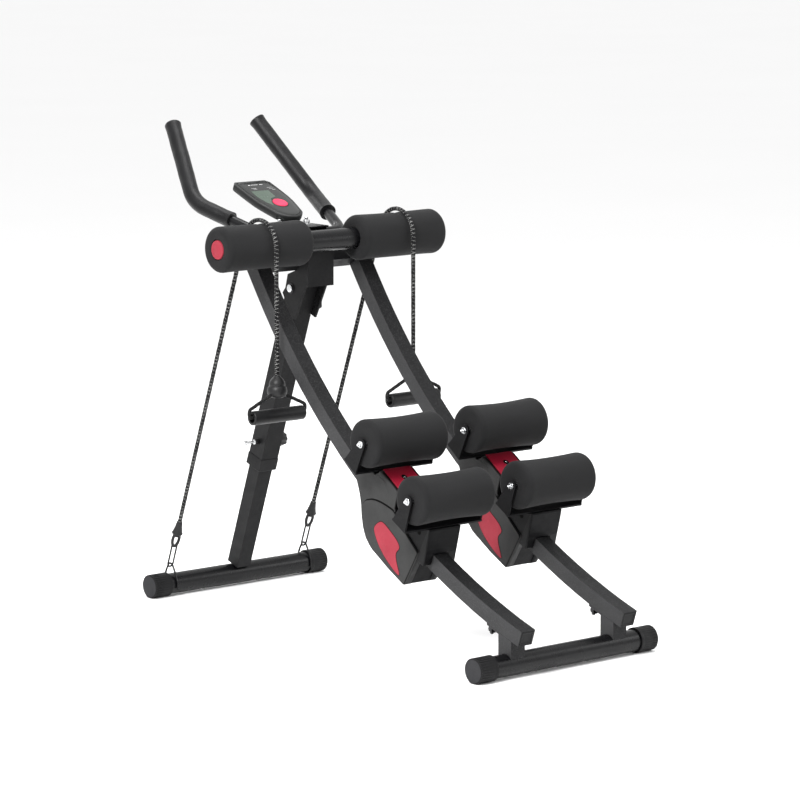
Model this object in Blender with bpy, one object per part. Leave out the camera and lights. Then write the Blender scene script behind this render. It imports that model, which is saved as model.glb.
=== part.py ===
"""Ab crunch machine: two curved rails with rolling knee carriages, a padded elbow bar and a folding leg.

Frame: +X runs across the machine, +Y points to the rear leg and the screen, +Z is up.
The origin lies on the floor under the middle of the machine's overall box. Units are metres.
Distances along the machine are counted from the front foot and turned into Y by `along`.
"""

import bmesh
import bpy
import math
from mathutils import Matrix, Vector

# ---- driving dimensions -------------------------------------------------------------------
GAP = 0.0003                    # air between touching pieces
ORIGIN_FROM_FRONT_FOOT = 0.6064  # centre of the overall box, behind the front foot's axis
WHEELBASE = 1.178               # front foot axis to rear foot axis

FOOT_TUBE_R = 0.025
TUBE_WALL = 0.002
FOOT_LENGTH = 0.530             # over the end caps
CAP_R = 0.029
CAP_LENGTH = 0.051
CAP_WALL = 0.005
FOOT_AXIS_Z = 0.0285            # the caps have a small flat that rests on the floor

RAIL_X = 0.1525                 # rail centre lines, either side of the middle
RAIL_WIDTH = 0.040
RAIL_HEIGHT = 0.036
RAIL_R = 1.734                  # radius of the rail's top face
RAIL_CENTRE = (-0.589, 1.760)   # arc centre: distance from the front foot, height
RAIL_LOW_DEG = 18.0             # where the arc starts, from straight down
RAIL_HIGH_DEG = 55.75           # where the arc runs out into the straight top end
RAIL_TOP_RUN = 0.086            # length of the straight top end

BEAM_SIZE = 0.038
BEAM_RUN = (0.046, 0.084)       # where the crossbeam sits along the straight top end

PAD_AXIS = (0.820, 0.877)       # elbow bar: distance from the front foot, height
PAD_TUBE_R = 0.025
PAD_TUBE_HALF = 0.317
PAD_R = 0.0535
PAD_X = (0.078, 0.326)          # one pad, from its inner to its outer face
PLUG_R = 0.0224

ROPE_R = 0.0055
ROPE_X = {"left": -0.201, "right": 0.211}
SIDES = {"left": -1, "right": 1}

LEG_PIVOT = (0.918, 0.757)      # fold axis of the rear leg
LEG_FOOT = (1.178, FOOT_AXIS_Z)
SLEEVE_HALF = 0.025
SLEEVE_BORE_HALF = 0.023
COLLAR_BORE_HALF = 0.0205
COLLAR_LENGTH = 0.060
SLEEVE_RUN = (-0.018, 0.478)    # from the pivot down the leg
POST_HALF = 0.020
POST_RUN = (0.150, 0.7465)
LOCK_RUN = 0.046                # fold lock pin below the pivot
HEIGHT_PIN_RUN = 0.408

ROLLER_R = 0.0555
ROLLER_HALF = 0.103
ROLLER_RISE = 0.126             # roller axis above the rail's top face
ROLLER_RUNS = {"lower": 0.005, "upper": 0.213}
FORK_BASE = (0.0585, 0.0635)    # the fork's cross plate, above the rail's top face
ROLLER_BORE_R = 0.0063
AXLE_R = 0.006
EAR_X = (0.1085, 0.1125)
EAR_TIP_R = 0.014
WHEEL_R = 0.018
WHEEL_HALF = 0.014
WHEELS = {"front": (0.020, 1), "rear": (0.190, 1), "under": (0.100, -1)}
CARRIAGE_DEG = 30.0             # rail angle that the carriage's own runs are counted from
COVER_X = (0.0276, 0.048)       # inner and outer face of a side cover, from the rail's centre

SCREEN_BUTTON = (0.999, 0.951)  # middle of the monitor's button
SCREEN_TILT = math.radians(22)
SCREEN_THICKNESS = 0.020
BUTTON_R = 0.019

BAR_R = 0.0127
GRIP_R = 0.0195

BLACK = (0.022, 0.022, 0.023)
GREY = (0.085, 0.085, 0.087)
FOAM = (0.035, 0.035, 0.036)
RED = (0.60, 0.025, 0.060)
ZINC = (0.62, 0.62, 0.63)


# ---- places -------------------------------------------------------------------------------
def along(distance):
    """Y of a point at this distance behind the front foot."""
    return distance - ORIGIN_FROM_FRONT_FOOT


def at(x, place):
    """World point from x and a (distance from the front foot, height) pair."""
    return Vector((x, along(place[0]), place[1]))


def on_arc(angle, rise):
    """(distance, height) of a point `rise` above the rail's top face, at an angle of the arc."""
    radius = RAIL_R - rise
    return (RAIL_CENTRE[0] + radius * math.sin(angle), RAIL_CENTRE[1] - radius * math.cos(angle))


def below_rail(distance, rise):
    """(distance, height) at a distance from the front foot, `rise` above the rail's top face."""
    return (distance, RAIL_CENTRE[1] - math.sqrt((RAIL_R - rise) ** 2 - (distance - RAIL_CENTRE[0]) ** 2))


def on_rail(run, rise):
    """(distance, height) at a run along the rail from the carriage's zero, and a rise above it."""
    return on_arc(math.radians(CARRIAGE_DEG) + run / RAIL_R, rise)


def on_top_end(run, rise):
    """(distance, height) on the straight top end of the rail."""
    angle = math.radians(RAIL_HIGH_DEG)
    start = on_arc(angle, 0)
    return (start[0] + run * math.cos(angle) - rise * math.sin(angle),
            start[1] + run * math.sin(angle) + rise * math.cos(angle))


LEG_LENGTH = math.dist(LEG_PIVOT, LEG_FOOT)
LEG_DOWN = ((LEG_FOOT[0] - LEG_PIVOT[0]) / LEG_LENGTH, (LEG_FOOT[1] - LEG_PIVOT[1]) / LEG_LENGTH)


def on_leg(run, side=0.0):
    """(distance, height) down the leg from its pivot; side is positive towards the rear."""
    return (LEG_PIVOT[0] + run * LEG_DOWN[0] - side * LEG_DOWN[1],
            LEG_PIVOT[1] + run * LEG_DOWN[1] + side * LEG_DOWN[0])


def on_screen(run, rise):
    """(distance, height) on the monitor: run up its face from the button, rise out of the face."""
    return (SCREEN_BUTTON[0] + run * math.cos(SCREEN_TILT) - rise * math.sin(SCREEN_TILT),
            SCREEN_BUTTON[1] + run * math.sin(SCREEN_TILT) + rise * math.cos(SCREEN_TILT))


# ---- objects ------------------------------------------------------------------------------
def material(name, colour, roughness, metallic):
    mat = bpy.data.materials.new(name)
    mat.use_nodes = True
    shader = mat.node_tree.nodes["Principled BSDF"]
    shader.inputs["Base Color"].default_value = (*colour, 1)
    shader.inputs["Roughness"].default_value = roughness
    shader.inputs["Metallic"].default_value = metallic
    return mat


def finish(name, bm, mat, pivot=None, smooth=False):
    """Turn world-space geometry into an object whose origin lies on its pivot."""
    bmesh.ops.recalc_face_normals(bm, faces=bm.faces)
    pivot = pivot or Vector((0, 0, 0))
    bmesh.ops.translate(bm, verts=bm.verts, vec=-pivot)
    mesh = bpy.data.meshes.new(name)
    bm.to_mesh(mesh)
    bm.free()
    mesh.materials.append(mat)
    if smooth:
        mesh.shade_smooth()
        mesh.set_sharp_from_angle(angle=math.radians(35))
    obj = bpy.data.objects.new(name, mesh)
    bpy.context.collection.objects.link(obj)
    obj.location = pivot
    obj.parent = bpy.data.objects["machine"]
    return obj


def operand(obj):
    """Hide a shape that only cuts or extends another."""
    obj.hide_render = True
    obj.display_type = "WIRE"
    return obj


def combine(obj, other, operation):
    modifier = obj.modifiers.new(other.name, "BOOLEAN")
    modifier.operation = operation
    modifier.object = operand(other)
    return obj


# ---- shapes -------------------------------------------------------------------------------
def add_prism(bm, outline, x_low, x_high):
    """Extrude a (distance, height) outline across the machine."""
    low = [bm.verts.new(at(x_low, place)) for place in outline]
    high = [bm.verts.new(at(x_high, place)) for place in outline]
    bm.faces.new(low)
    bm.faces.new(high)
    for i in range(len(outline)):
        j = (i + 1) % len(outline)
        bm.faces.new((low[i], low[j], high[j], high[i]))


def prism(name, outline, x_low, x_high, mat, pivot=None):
    bm = bmesh.new()
    add_prism(bm, outline, x_low, x_high)
    return finish(name, bm, mat, pivot)


def lathe(profile, base, direction, segments=32, closed=False):
    """Turn (distance along the axis, radius) points about an axis.

    A closed profile makes a ring; an open one gets a flat face at each end.
    """
    bm = bmesh.new()
    turn = Vector((0, 0, 1)).rotation_difference(Vector(direction)).to_matrix().to_4x4()
    place = Matrix.Translation(base) @ turn
    rings = []
    for reach, radius in profile:
        ring = []
        for i in range(segments):
            angle = 2 * math.pi * i / segments
            ring.append(bm.verts.new(place @ Vector((radius * math.cos(angle), radius * math.sin(angle), reach))))
        rings.append(ring)
    pairs = list(zip(rings, rings[1:]))
    if closed:
        pairs.append((rings[-1], rings[0]))
    else:
        bm.faces.new(rings[0])
        bm.faces.new(rings[-1])
    for one, two in pairs:
        for i in range(segments):
            j = (i + 1) % segments
            bm.faces.new((one[i], one[j], two[j], two[i]))
    return bm


def turned_x(name, profile, place, mat, segments=32, closed=False, pivot=None):
    """A turned piece on an axis across the machine; the profile's first value is its x."""
    bm = lathe(profile, at(0, place), (1, 0, 0), segments, closed)
    return finish(name, bm, mat, pivot, smooth=True)


def pipe(bm, points, radius, sides=8):
    """A round bar along points, with flat ends."""
    rings = []
    up = None
    for i, point in enumerate(points):
        before = points[max(i - 1, 0)]
        after = points[min(i + 1, len(points) - 1)]
        heading = (after - before).normalized()
        up = Vector((0.3, 0.2, 1)) if up is None else up
        side = heading.cross(up).normalized()
        up = side.cross(heading).normalized()
        ring = []
        for k in range(sides):
            angle = 2 * math.pi * k / sides
            ring.append(bm.verts.new(point + radius * (math.cos(angle) * side + math.sin(angle) * up)))
        rings.append(ring)
    for one, two in zip(rings, rings[1:]):
        for k in range(sides):
            j = (k + 1) % sides
            bm.faces.new((one[k], one[j], two[j], two[k]))
    bm.faces.new(rings[0])
    bm.faces.new(rings[-1])


def rounded_path(corners, radius, steps=6):
    """A path through corners, each turned by an arc that starts `radius` before the corner."""
    path = [corners[0]]
    for before, corner, after in zip(corners, corners[1:], corners[2:]):
        start = corner + (before - corner).normalized() * radius
        end = corner + (after - corner).normalized() * radius
        for k in range(steps + 1):
            t = k / steps
            path.append((1 - t) ** 2 * start + 2 * t * (1 - t) * corner + t ** 2 * end)
    path.append(corners[-1])
    return path


def arc_outline(centre, radius, start, end, steps):
    """Points of an arc in a (first, second) plane; the angles are in degrees."""
    points = []
    for k in range(steps + 1):
        angle = math.radians(start + (end - start) * k / steps)
        points.append((centre[0] + radius * math.cos(angle), centre[1] + radius * math.sin(angle)))
    return points


def square_tube(name, stations, mat, pivot=None):
    """A hollow square section. Each station is (centre, depth direction, half size, bore half)."""
    bm = bmesh.new()
    rings = []
    for centre, depth, half, bore in stations:
        ring = []
        for size in (half, bore):
            for sx, sd in ((-1, -1), (1, -1), (1, 1), (-1, 1)):
                ring.append(bm.verts.new(centre + Vector((sx * size, 0, 0)) + sd * size * depth))
        rings.append(ring)
    for one, two in zip(rings, rings[1:]):
        for start in (0, 4):
            for k in range(4):
                j = (k + 1) % 4
                bm.faces.new((one[start + k], one[start + j], two[start + j], two[start + k]))
    for ring in (rings[0], rings[-1]):
        for k in range(4):
            j = (k + 1) % 4
            bm.faces.new((ring[k], ring[j], ring[4 + j], ring[4 + k]))
    return finish(name, bm, mat, pivot)


# ---- feet ---------------------------------------------------------------------------------
def foot_tube(name, distance, mats, pivot=None):
    half = FOOT_LENGTH / 2 - CAP_WALL - GAP
    inner = FOOT_TUBE_R - TUBE_WALL
    profile = [(-half, inner), (-half, FOOT_TUBE_R), (half, FOOT_TUBE_R), (half, inner)]
    return turned_x(name, profile, (distance, FOOT_AXIS_Z), mats["black"], closed=True, pivot=pivot)


def foot_cap(name, side, distance, mats, pivot=None):
    """A cup over the tube's end, with a flat moulded where it meets the floor."""
    outer = side * FOOT_LENGTH / 2
    mouth = outer - side * CAP_LENGTH
    floor = outer - side * CAP_WALL
    bore = FOOT_TUBE_R + GAP
    chamfer = 0.002
    profile = [(floor, 0.001), (floor, bore), (mouth, bore), (mouth, CAP_R), (outer - side * chamfer, CAP_R),
               (outer, CAP_R - chamfer), (outer, 0.001)]
    bm = lathe(profile, at(0, (distance, FOOT_AXIS_Z)), (1, 0, 0), 40, closed=True)
    fill_core(bm, distance, floor, outer)
    for vert in bm.verts:
        vert.co.z = max(vert.co.z, 0.0)
    return finish(name, bm, mats["plastic"], pivot, smooth=True)


def fill_core(bm, distance, x_one, x_two):
    """Close the pinhole on the axis that a ring profile leaves."""
    axis = at(0, (distance, FOOT_AXIS_Z))
    bm.faces.ensure_lookup_table()
    core = [f for f in bm.faces if all((v.co.yz - axis.yz).length < 0.002 for v in f.verts)]
    bmesh.ops.delete(bm, geom=core, context="FACES")
    for x in (x_one, x_two):
        ring = [v for v in bm.verts if abs(v.co.x - x) < 1e-6 and (v.co.yz - axis.yz).length < 0.002]
        ring.sort(key=lambda v: math.atan2(v.co.z - axis.z, v.co.y - axis.y))
        bm.faces.new(ring)


def rail_foot(name, side, mats):
    """Square stub on the front foot with a sloping saddle under the rail."""
    x = side * RAIL_X
    half = RAIL_WIDTH / 2
    under = -RAIL_HEIGHT - GAP
    plate = under - 0.004
    outline = [(-0.020, 0.035), below_rail(-0.020, under), below_rail(0.022, under), below_rail(0.060, under),
               below_rail(0.060, plate), below_rail(0.022, plate), (0.022, 0.035)]
    stub = prism(name, outline, x - half, x + half, mats["grey"])
    tube = turned_x(name + "_seat", [(x - 0.03, FOOT_TUBE_R + GAP), (x + 0.03, FOOT_TUBE_R + GAP)],
                    (0, FOOT_AXIS_Z), mats["grey"])
    hollow = prism(name + "_hollow", [(-0.0175, 0.020), (-0.0175, 0.058), (0.0195, 0.066), (0.0195, 0.020)],
                   x - half + 0.0025, x + half - 0.0025, mats["grey"])
    combine(stub, tube, "DIFFERENCE")
    return combine(stub, hollow, "DIFFERENCE")


# ---- rails --------------------------------------------------------------------------------
def rail_section(x, place_of, wall):
    """Outer and inner corner points of the rail at one station."""
    ring = []
    for inset in (0.0, wall):
        half = RAIL_WIDTH / 2 - inset
        for sx, rise in ((-1, -inset), (1, -inset), (1, inset - RAIL_HEIGHT), (-1, inset - RAIL_HEIGHT)):
            ring.append(at(x + sx * half, place_of(rise)))
    return ring


def rail(name, side, mats):
    """Curved rectangular tube with a straight top end, open at both ends."""
    x = side * RAIL_X
    steps = 22
    places = []
    for k in range(steps + 1):
        angle = math.radians(RAIL_LOW_DEG + (RAIL_HIGH_DEG - RAIL_LOW_DEG) * k / steps)
        places.append(lambda rise, angle=angle: on_arc(angle, rise))
    places.append(lambda rise: on_top_end(RAIL_TOP_RUN, rise))
    bm = bmesh.new()
    rings = [[bm.verts.new(p) for p in rail_section(x, place, TUBE_WALL)] for place in places]
    for one, two in zip(rings, rings[1:]):
        for start in (0, 4):
            for k in range(4):
                j = (k + 1) % 4
                bm.faces.new((one[start + k], one[start + j], two[start + j], two[start + k]))
    for ring in (rings[0], rings[-1]):
        for k in range(4):
            j = (k + 1) % 4
            bm.faces.new((ring[k], ring[j], ring[4 + j], ring[4 + k]))
    return finish(name, bm, mats["grey"])


def crossbeam(mats):
    """Square bar between the rails' top ends."""
    low, high = BEAM_RUN
    outline = [on_top_end(low, 0), on_top_end(high, 0), on_top_end(high, -BEAM_SIZE), on_top_end(low, -BEAM_SIZE)]
    half = RAIL_X - RAIL_WIDTH / 2 - GAP
    return prism("crossbeam", outline, -half, half, mats["black"])


def hinge_bracket(mats):
    """Channel under the elbow bar: a front web and two cheeks that carry the leg's pivot."""
    web = [(0.8453, 0.766), (0.8503, 0.766), (0.8503, 0.893), (0.8453, 0.893)]
    low, high = BEAM_RUN
    cheek = [(0.847, 0.786), (0.847, 0.884), (0.868, 0.884), on_top_end(high - 0.004, GAP), on_top_end(low - GAP, GAP),
             on_top_end(low - GAP, -BEAM_SIZE), (0.930, 0.790), (0.939, 0.757), (0.950, 0.744),
             (0.918, 0.690), (0.904, 0.684), (0.863, 0.764)]
    bracket = prism("hinge_bracket", web, -0.038, 0.038, mats["black"])
    for label, x_low, x_high in (("left", -0.033, -0.028), ("right", 0.028, 0.033)):
        combine(bracket, prism("bracket_cheek_" + label, cheek, x_low, x_high, mats["black"]), "UNION")
    combine(bracket, bore("bracket_pivot_bore", LEG_PIVOT, 0.0054, 0.05, mats), "DIFFERENCE")
    return combine(bracket, bore("bracket_lock_bore", on_leg(LOCK_RUN), 0.0045, 0.05, mats), "DIFFERENCE")


def bore(name, place, radius, half, mats):
    return turned_x(name, [(-half, radius), (half, radius)], place, mats["zinc"], segments=20)


# ---- elbow bar ----------------------------------------------------------------------------
def pad_tube(mats):
    inner = PAD_TUBE_R - TUBE_WALL
    half = PAD_TUBE_HALF
    profile = [(-half, inner), (-half, PAD_TUBE_R), (half, PAD_TUBE_R), (half, inner)]
    return turned_x("pad_tube", profile, PAD_AXIS, mats["black"], closed=True)


def elbow_pad(name, side, mats):
    """Foam roll on the elbow bar, closing round the plug at its outer end."""
    inner, outer = PAD_X
    bore_r = PAD_TUBE_R + GAP
    lip = PLUG_R + GAP
    soft = 0.010
    shoulder = PAD_TUBE_HALF + GAP
    profile = [(inner, bore_r), (inner, PAD_R - soft), (inner + soft * 0.3, PAD_R - soft * 0.3), (inner + soft, PAD_R),
               (outer - soft, PAD_R), (outer - soft * 0.3, PAD_R - soft * 0.3), (outer, PAD_R - soft), (outer, lip),
               (shoulder, lip), (shoulder, bore_r)]
    profile = [(side * x, radius) for x, radius in profile]
    return turned_x(name, profile, PAD_AXIS, mats["foam"], segments=32, closed=True)


def pad_plug(name, side, mats):
    """Red plug in the bar's end, with a narrower spigot inside the tube."""
    profile = [(PAD_TUBE_HALF - 0.020, PLUG_R - 0.003), (PAD_TUBE_HALF - 0.018, PLUG_R - GAP),
               (PAD_X[1] - 0.001, PLUG_R - GAP), (PAD_X[1] + 0.0005, PLUG_R - 0.002)]
    profile = [(side * x, radius) for x, radius in profile]
    return turned_x(name, profile, PAD_AXIS, mats["red"])


# ---- handlebar ----------------------------------------------------------------------------
BAR_MIDDLE = (0.905, 0.885)
BAR_BEND_X = 0.113
ELBOW = (0.180, 1.099, 0.955)       # x, distance, height of the grip's bend
TIP = (0.1275, 1.2505, 1.1270)
BRACKET_PLATE = 0.004
BEND_REACH = 0.036                  # how far before a corner the bar starts to bend
GRIP_START = 0.485                  # share of the lower arm that stays bare


def bar_corner(side, x, distance, height):
    return at(side * x, (distance, height))


def handlebar_tube(mats):
    """One bent bar: across the middle, out and back along both arms, then up into the grips."""
    corners = []
    for side in (-1, 1):
        arm = [bar_corner(side, *TIP), bar_corner(side, *ELBOW), bar_corner(side, BAR_BEND_X, *BAR_MIDDLE)]
        arm[0] += (arm[1] - arm[0]).normalized() * 0.006
        corners += arm if side < 0 else arm[::-1]
    bm = bmesh.new()
    pipe(bm, rounded_path(corners, BEND_REACH), BAR_R, sides=16)
    return finish("handlebar_tube", bm, mats["black"], smooth=True)


def grip(name, side, mats):
    """Foam sleeve over the arm's bend and the upright part, closed at its tip."""
    tip = bar_corner(side, *TIP)
    elbow = bar_corner(side, *ELBOW)
    bend = bar_corner(side, BAR_BEND_X, *BAR_MIDDLE)
    start = bend.lerp(elbow, GRIP_START)
    path = rounded_path([start, elbow, tip], BEND_REACH)
    bm = bmesh.new()
    pipe(bm, path, GRIP_R, sides=16)
    sleeve = finish(name, bm, mats["foam"], smooth=True)
    bm = bmesh.new()
    hollow = rounded_path([start + (start - elbow) * 0.1, elbow, tip + (elbow - tip).normalized() * 0.005], BEND_REACH)
    pipe(bm, hollow, BAR_R + GAP * 2, sides=16)
    return combine(sleeve, finish(name + "_hollow", bm, mats["foam"]), "DIFFERENCE")


def handlebar_bracket(mats):
    """Folded plate: a flange over the bar's middle and a web down to the crossbeam."""
    high = BEAM_RUN[1] + GAP
    under = BAR_MIDDLE[1] + BAR_R + GAP
    top = under + BRACKET_PLATE
    outline = [on_top_end(high, -0.0325), on_top_end(high, -0.0375), (0.9245, under), (0.972, under), (0.972, top),
               (0.893, top), (0.893, under), (0.9195, under)]
    return prism("handlebar_bracket", outline, -0.062, 0.062, mats["black"])


# ---- monitor ------------------------------------------------------------------------------
def screen_outline(inset):
    """Half-egg outline of the monitor in (x, run): round at the bottom, broad at the top."""
    bottom = arc_outline((0, -0.032), 0.038 - inset, 200, 340, 10)
    right = [(0.046 - inset, 0.005), (0.050 - inset, 0.050)] + arc_outline((0.030, 0.102), 0.020 - inset, 10, 80, 4)
    left = [(-x, run) for x, run in reversed(right)]
    return bottom + right + left


def screen_plate(bm, outline, rise_low, rise_high):
    low = [bm.verts.new(at(x, on_screen(run, rise_low))) for x, run in outline]
    high = [bm.verts.new(at(x, on_screen(run, rise_high))) for x, run in outline]
    bm.faces.new(low)
    bm.faces.new(high)
    for i in range(len(outline)):
        j = (i + 1) % len(outline)
        bm.faces.new((low[i], low[j], high[j], high[i]))


def screen_cylinder(name, radius, rise_low, rise_high, mat, pivot=None):
    normal = Vector((0, -math.sin(SCREEN_TILT), math.cos(SCREEN_TILT)))
    bm = lathe([(rise_low, radius), (rise_high, radius)], at(0, SCREEN_BUTTON), normal, 32)
    return finish(name, bm, mat, pivot, smooth=True)


def monitor_housing(mats):
    bm = bmesh.new()
    screen_plate(bm, screen_outline(0), -SCREEN_THICKNESS, -0.002)
    housing = finish("monitor_housing", bm, mats["plastic"])
    clip_top = SCREEN_THICKNESS - 0.004
    plate_top = BAR_MIDDLE[1] + BAR_R + BRACKET_PLATE + 2 * GAP
    clip = [on_screen(-0.050, -clip_top), on_screen(-0.012, -clip_top), (0.970, plate_top), (0.944, plate_top)]
    combine(housing, prism("monitor_clip", clip, -0.014, 0.014, mats["plastic"]), "UNION")
    return combine(housing, screen_cylinder("monitor_pocket", BUTTON_R + 0.0005, -0.011, 0.01, mats["zinc"]),
                   "DIFFERENCE")


def monitor_lens(mats):
    """Clear cover over the display, with a round hole for the button."""
    bm = bmesh.new()
    screen_plate(bm, screen_outline(0.009), -0.002 + GAP, 0.0)
    lens = finish("monitor_lens", bm, mats["lens"])
    return combine(lens, screen_cylinder("lens_hole", BUTTON_R + 0.001, -0.01, 0.01, mats["zinc"]), "DIFFERENCE")


def monitor_button(mats):
    return screen_cylinder("monitor_button", BUTTON_R, -0.0075, 0.003, mats["red"], pivot=at(0, SCREEN_BUTTON))


# ---- rear leg -----------------------------------------------------------------------------
def leg_stations(runs):
    rear = Vector((0, -LEG_DOWN[1], LEG_DOWN[0]))
    return [(at(0, on_leg(run)), rear, half, hollow) for run, half, hollow in runs]


def upright_sleeve(mats):
    """Outer leg tube; its last stretch is narrowed by a collar that guides the post."""
    top, end = SLEEVE_RUN
    collar = end - COLLAR_LENGTH
    runs = [(top, SLEEVE_HALF, SLEEVE_BORE_HALF), (collar, SLEEVE_HALF, SLEEVE_BORE_HALF),
            (collar + 0.002, SLEEVE_HALF, COLLAR_BORE_HALF), (end, SLEEVE_HALF, COLLAR_BORE_HALF)]
    sleeve = square_tube("upright_sleeve", leg_stations(runs), mats["grey"], pivot=at(0, LEG_PIVOT))
    return combine(sleeve, bore("sleeve_pivot_bore", LEG_PIVOT, 0.0054, 0.04, mats), "DIFFERENCE")


def lower_post(mats):
    """Inner leg tube, cut round at its foot to sit on the rear foot tube."""
    top, end = POST_RUN
    runs = [(top, POST_HALF, POST_HALF - TUBE_WALL), (end, POST_HALF, POST_HALF - TUBE_WALL)]
    post = square_tube("lower_post", leg_stations(runs), mats["grey"], pivot=at(0, LEG_FOOT))
    seat = turned_x("post_seat", [(-0.03, FOOT_TUBE_R + GAP), (0.03, FOOT_TUBE_R + GAP)], LEG_FOOT, mats["grey"])
    return combine(post, seat, "DIFFERENCE")


def pivot_bolt(mats):
    profile = [(-0.0395, 0.006), (-0.038, 0.009), (-0.0333, 0.009), (-0.0333, 0.005), (0.0333, 0.005),
               (0.0333, 0.009), (0.038, 0.009), (0.0395, 0.006)]
    return turned_x("pivot_bolt", profile, LEG_PIVOT, mats["zinc"], segments=20)


def lock_knob(name, run, profile, mats):
    place = on_leg(run)
    return turned_x(name, profile, place, mats["plastic"], segments=20, pivot=at(0, place))


def height_pin(mats):
    """Plated pull pin with a flattened eye, on the leg's left face."""
    face = -SLEEVE_HALF - GAP
    place = on_leg(HEIGHT_PIN_RUN)
    profile = [(face, 0.006), (face - 0.014, 0.006), (face - 0.015, 0.0032), (face - 0.034, 0.0032),
               (face - 0.036, 0.0055), (face - 0.045, 0.0055), (face - 0.047, 0.003)]
    return turned_x("height_pin", profile, place, mats["zinc"], segments=16, pivot=at(0, place))


# ---- ropes --------------------------------------------------------------------------------
RING_TOP = (WHEELBASE, 0.080)
STOPPER_TOP = 0.583
ROPE_TURN_R = PAD_R + ROPE_R + 0.0022
ROPE_FALL = PAD_AXIS[0] - ROPE_TURN_R
ROPE_START = (1.1392, 0.1854)
ROPE_STEP = 0.022
HANDLE_Z = 0.490


def rope_route(x):
    """From the ferrule straight up to the elbow pad, round it and straight down to the stopper."""
    reach = Vector(ROPE_START) - Vector(PAD_AXIS)
    touch = math.degrees(math.atan2(reach.y, reach.x) + math.acos(ROPE_TURN_R / reach.length))
    turn = arc_outline(PAD_AXIS, ROPE_TURN_R, touch, 180, 8)
    corners = [ROPE_START] + turn + [(ROPE_FALL, STOPPER_TOP)]
    route = [at(x, ROPE_START)]
    for before, after in zip(corners, corners[1:]):
        start = at(x, before)
        end = at(x, after)
        pieces = max(1, round((end - start).length / ROPE_STEP))
        route += [start.lerp(end, k / pieces) for k in range(1, pieces + 1)]
    return route


def d_ring(name, side, mats, pivot):
    """Bent wire that straddles the rear foot tube."""
    x = ROPE_X[side]
    reach = FOOT_TUBE_R + GAP + 0.0026
    outline = ((-reach, 0.018), (-reach, 0.034), (-0.017, 0.060), (-0.006, 0.078), (0.006, 0.078), (0.017, 0.060),
               (reach, 0.034), (reach, 0.018))
    bm = bmesh.new()
    pipe(bm, rounded_path([at(x, (WHEELBASE + y, z)) for y, z in outline], 0.004, 2), 0.0025)
    return finish(name, bm, mats["black"], pivot, smooth=True)


def rope_hook(name, side, mats, pivot):
    """Snap link that hangs in the D-ring, ending in the ferrule that grips the rope."""
    start = at(ROPE_X[side], (RING_TOP[0], RING_TOP[1] - 0.002))
    lean = (at(ROPE_X[side], ROPE_START) - start).normalized()
    across = Vector((1, 0, 0))
    width = 0.0075
    low, high = -0.0085, 0.082
    loop = [start + lean * run + across * shift
            for run, shift in ((high, 0.001), (high - 0.004, width), (low + 0.006, width), (low, 0.003), (low, -0.003),
                               (low + 0.006, -width), (high - 0.004, -width), (high, -0.001))]
    bm = bmesh.new()
    pipe(bm, rounded_path(loop, 0.0025, 2), 0.0022)
    link = finish(name, bm, mats["black"], pivot, smooth=True)
    end = (at(ROPE_X[side], ROPE_START) - start).length - GAP
    bm = lathe([(high - 0.006, 0.0095), (high + 0.004, 0.0095), (end, 0.0068)], start, lean, 16)
    return combine(link, finish(name + "_ferrule", bm, mats["black"], smooth=True), "UNION")


def rope(name, side, mats):
    """Rope from the ferrule, up behind the elbow pad, over it and down to the handle."""
    route = rope_route(ROPE_X[side])
    curve = bpy.data.curves.new(name, "CURVE")
    curve.dimensions = "3D"
    curve.bevel_depth = ROPE_R
    curve.bevel_resolution = 2
    curve.use_fill_caps = True
    spline = curve.splines.new("POLY")
    spline.points.add(len(route) - 1)
    for point, place in zip(spline.points, route):
        point.co = (*place, 1)
    curve.materials.append(mats["rope"])
    obj = bpy.data.objects.new(name, curve)
    bpy.context.collection.objects.link(obj)
    obj.parent = bpy.data.objects["machine"]
    return obj


def rope_handle(name, side, mats):
    """Round grip with the rope's loop through it, and the stopper the loop hangs from."""
    x = ROPE_X[side]
    centre = at(x, (ROPE_FALL, HANDLE_Z))
    pivot = at(x, (ROPE_FALL, PAD_AXIS[1]))
    half = 0.075
    bm = lathe([(-half, 0.0145), (-half + 0.003, 0.0165), (half - 0.003, 0.0165), (half, 0.0145)],
               centre, (1, 0, 0), 24)
    handle = finish(name, bm, mats["foam"], pivot, smooth=True)
    loop = [(-half + 0.01, 0), (-half - 0.008, 0.0), (-half - 0.008, 0.020), (-0.012, 0.052), (0.012, 0.052),
            (half + 0.008, 0.020), (half + 0.008, 0.0), (half - 0.01, 0)]
    bm = bmesh.new()
    pipe(bm, rounded_path([centre + Vector((dx, 0, dz)) for dx, dz in loop], 0.006, 3), 0.0045)
    combine(handle, finish(name + "_loop", bm, mats["rope"]), "UNION")
    top = STOPPER_TOP - HANDLE_Z - GAP
    bm = lathe([(0.043, 0.013), (0.049, 0.022), (0.066, 0.0235), (0.079, 0.018), (top, 0.008)],
               centre, (0, 0, 1), 20)
    return combine(handle, finish(name + "_stopper", bm, mats["plastic"]), "UNION")


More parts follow.
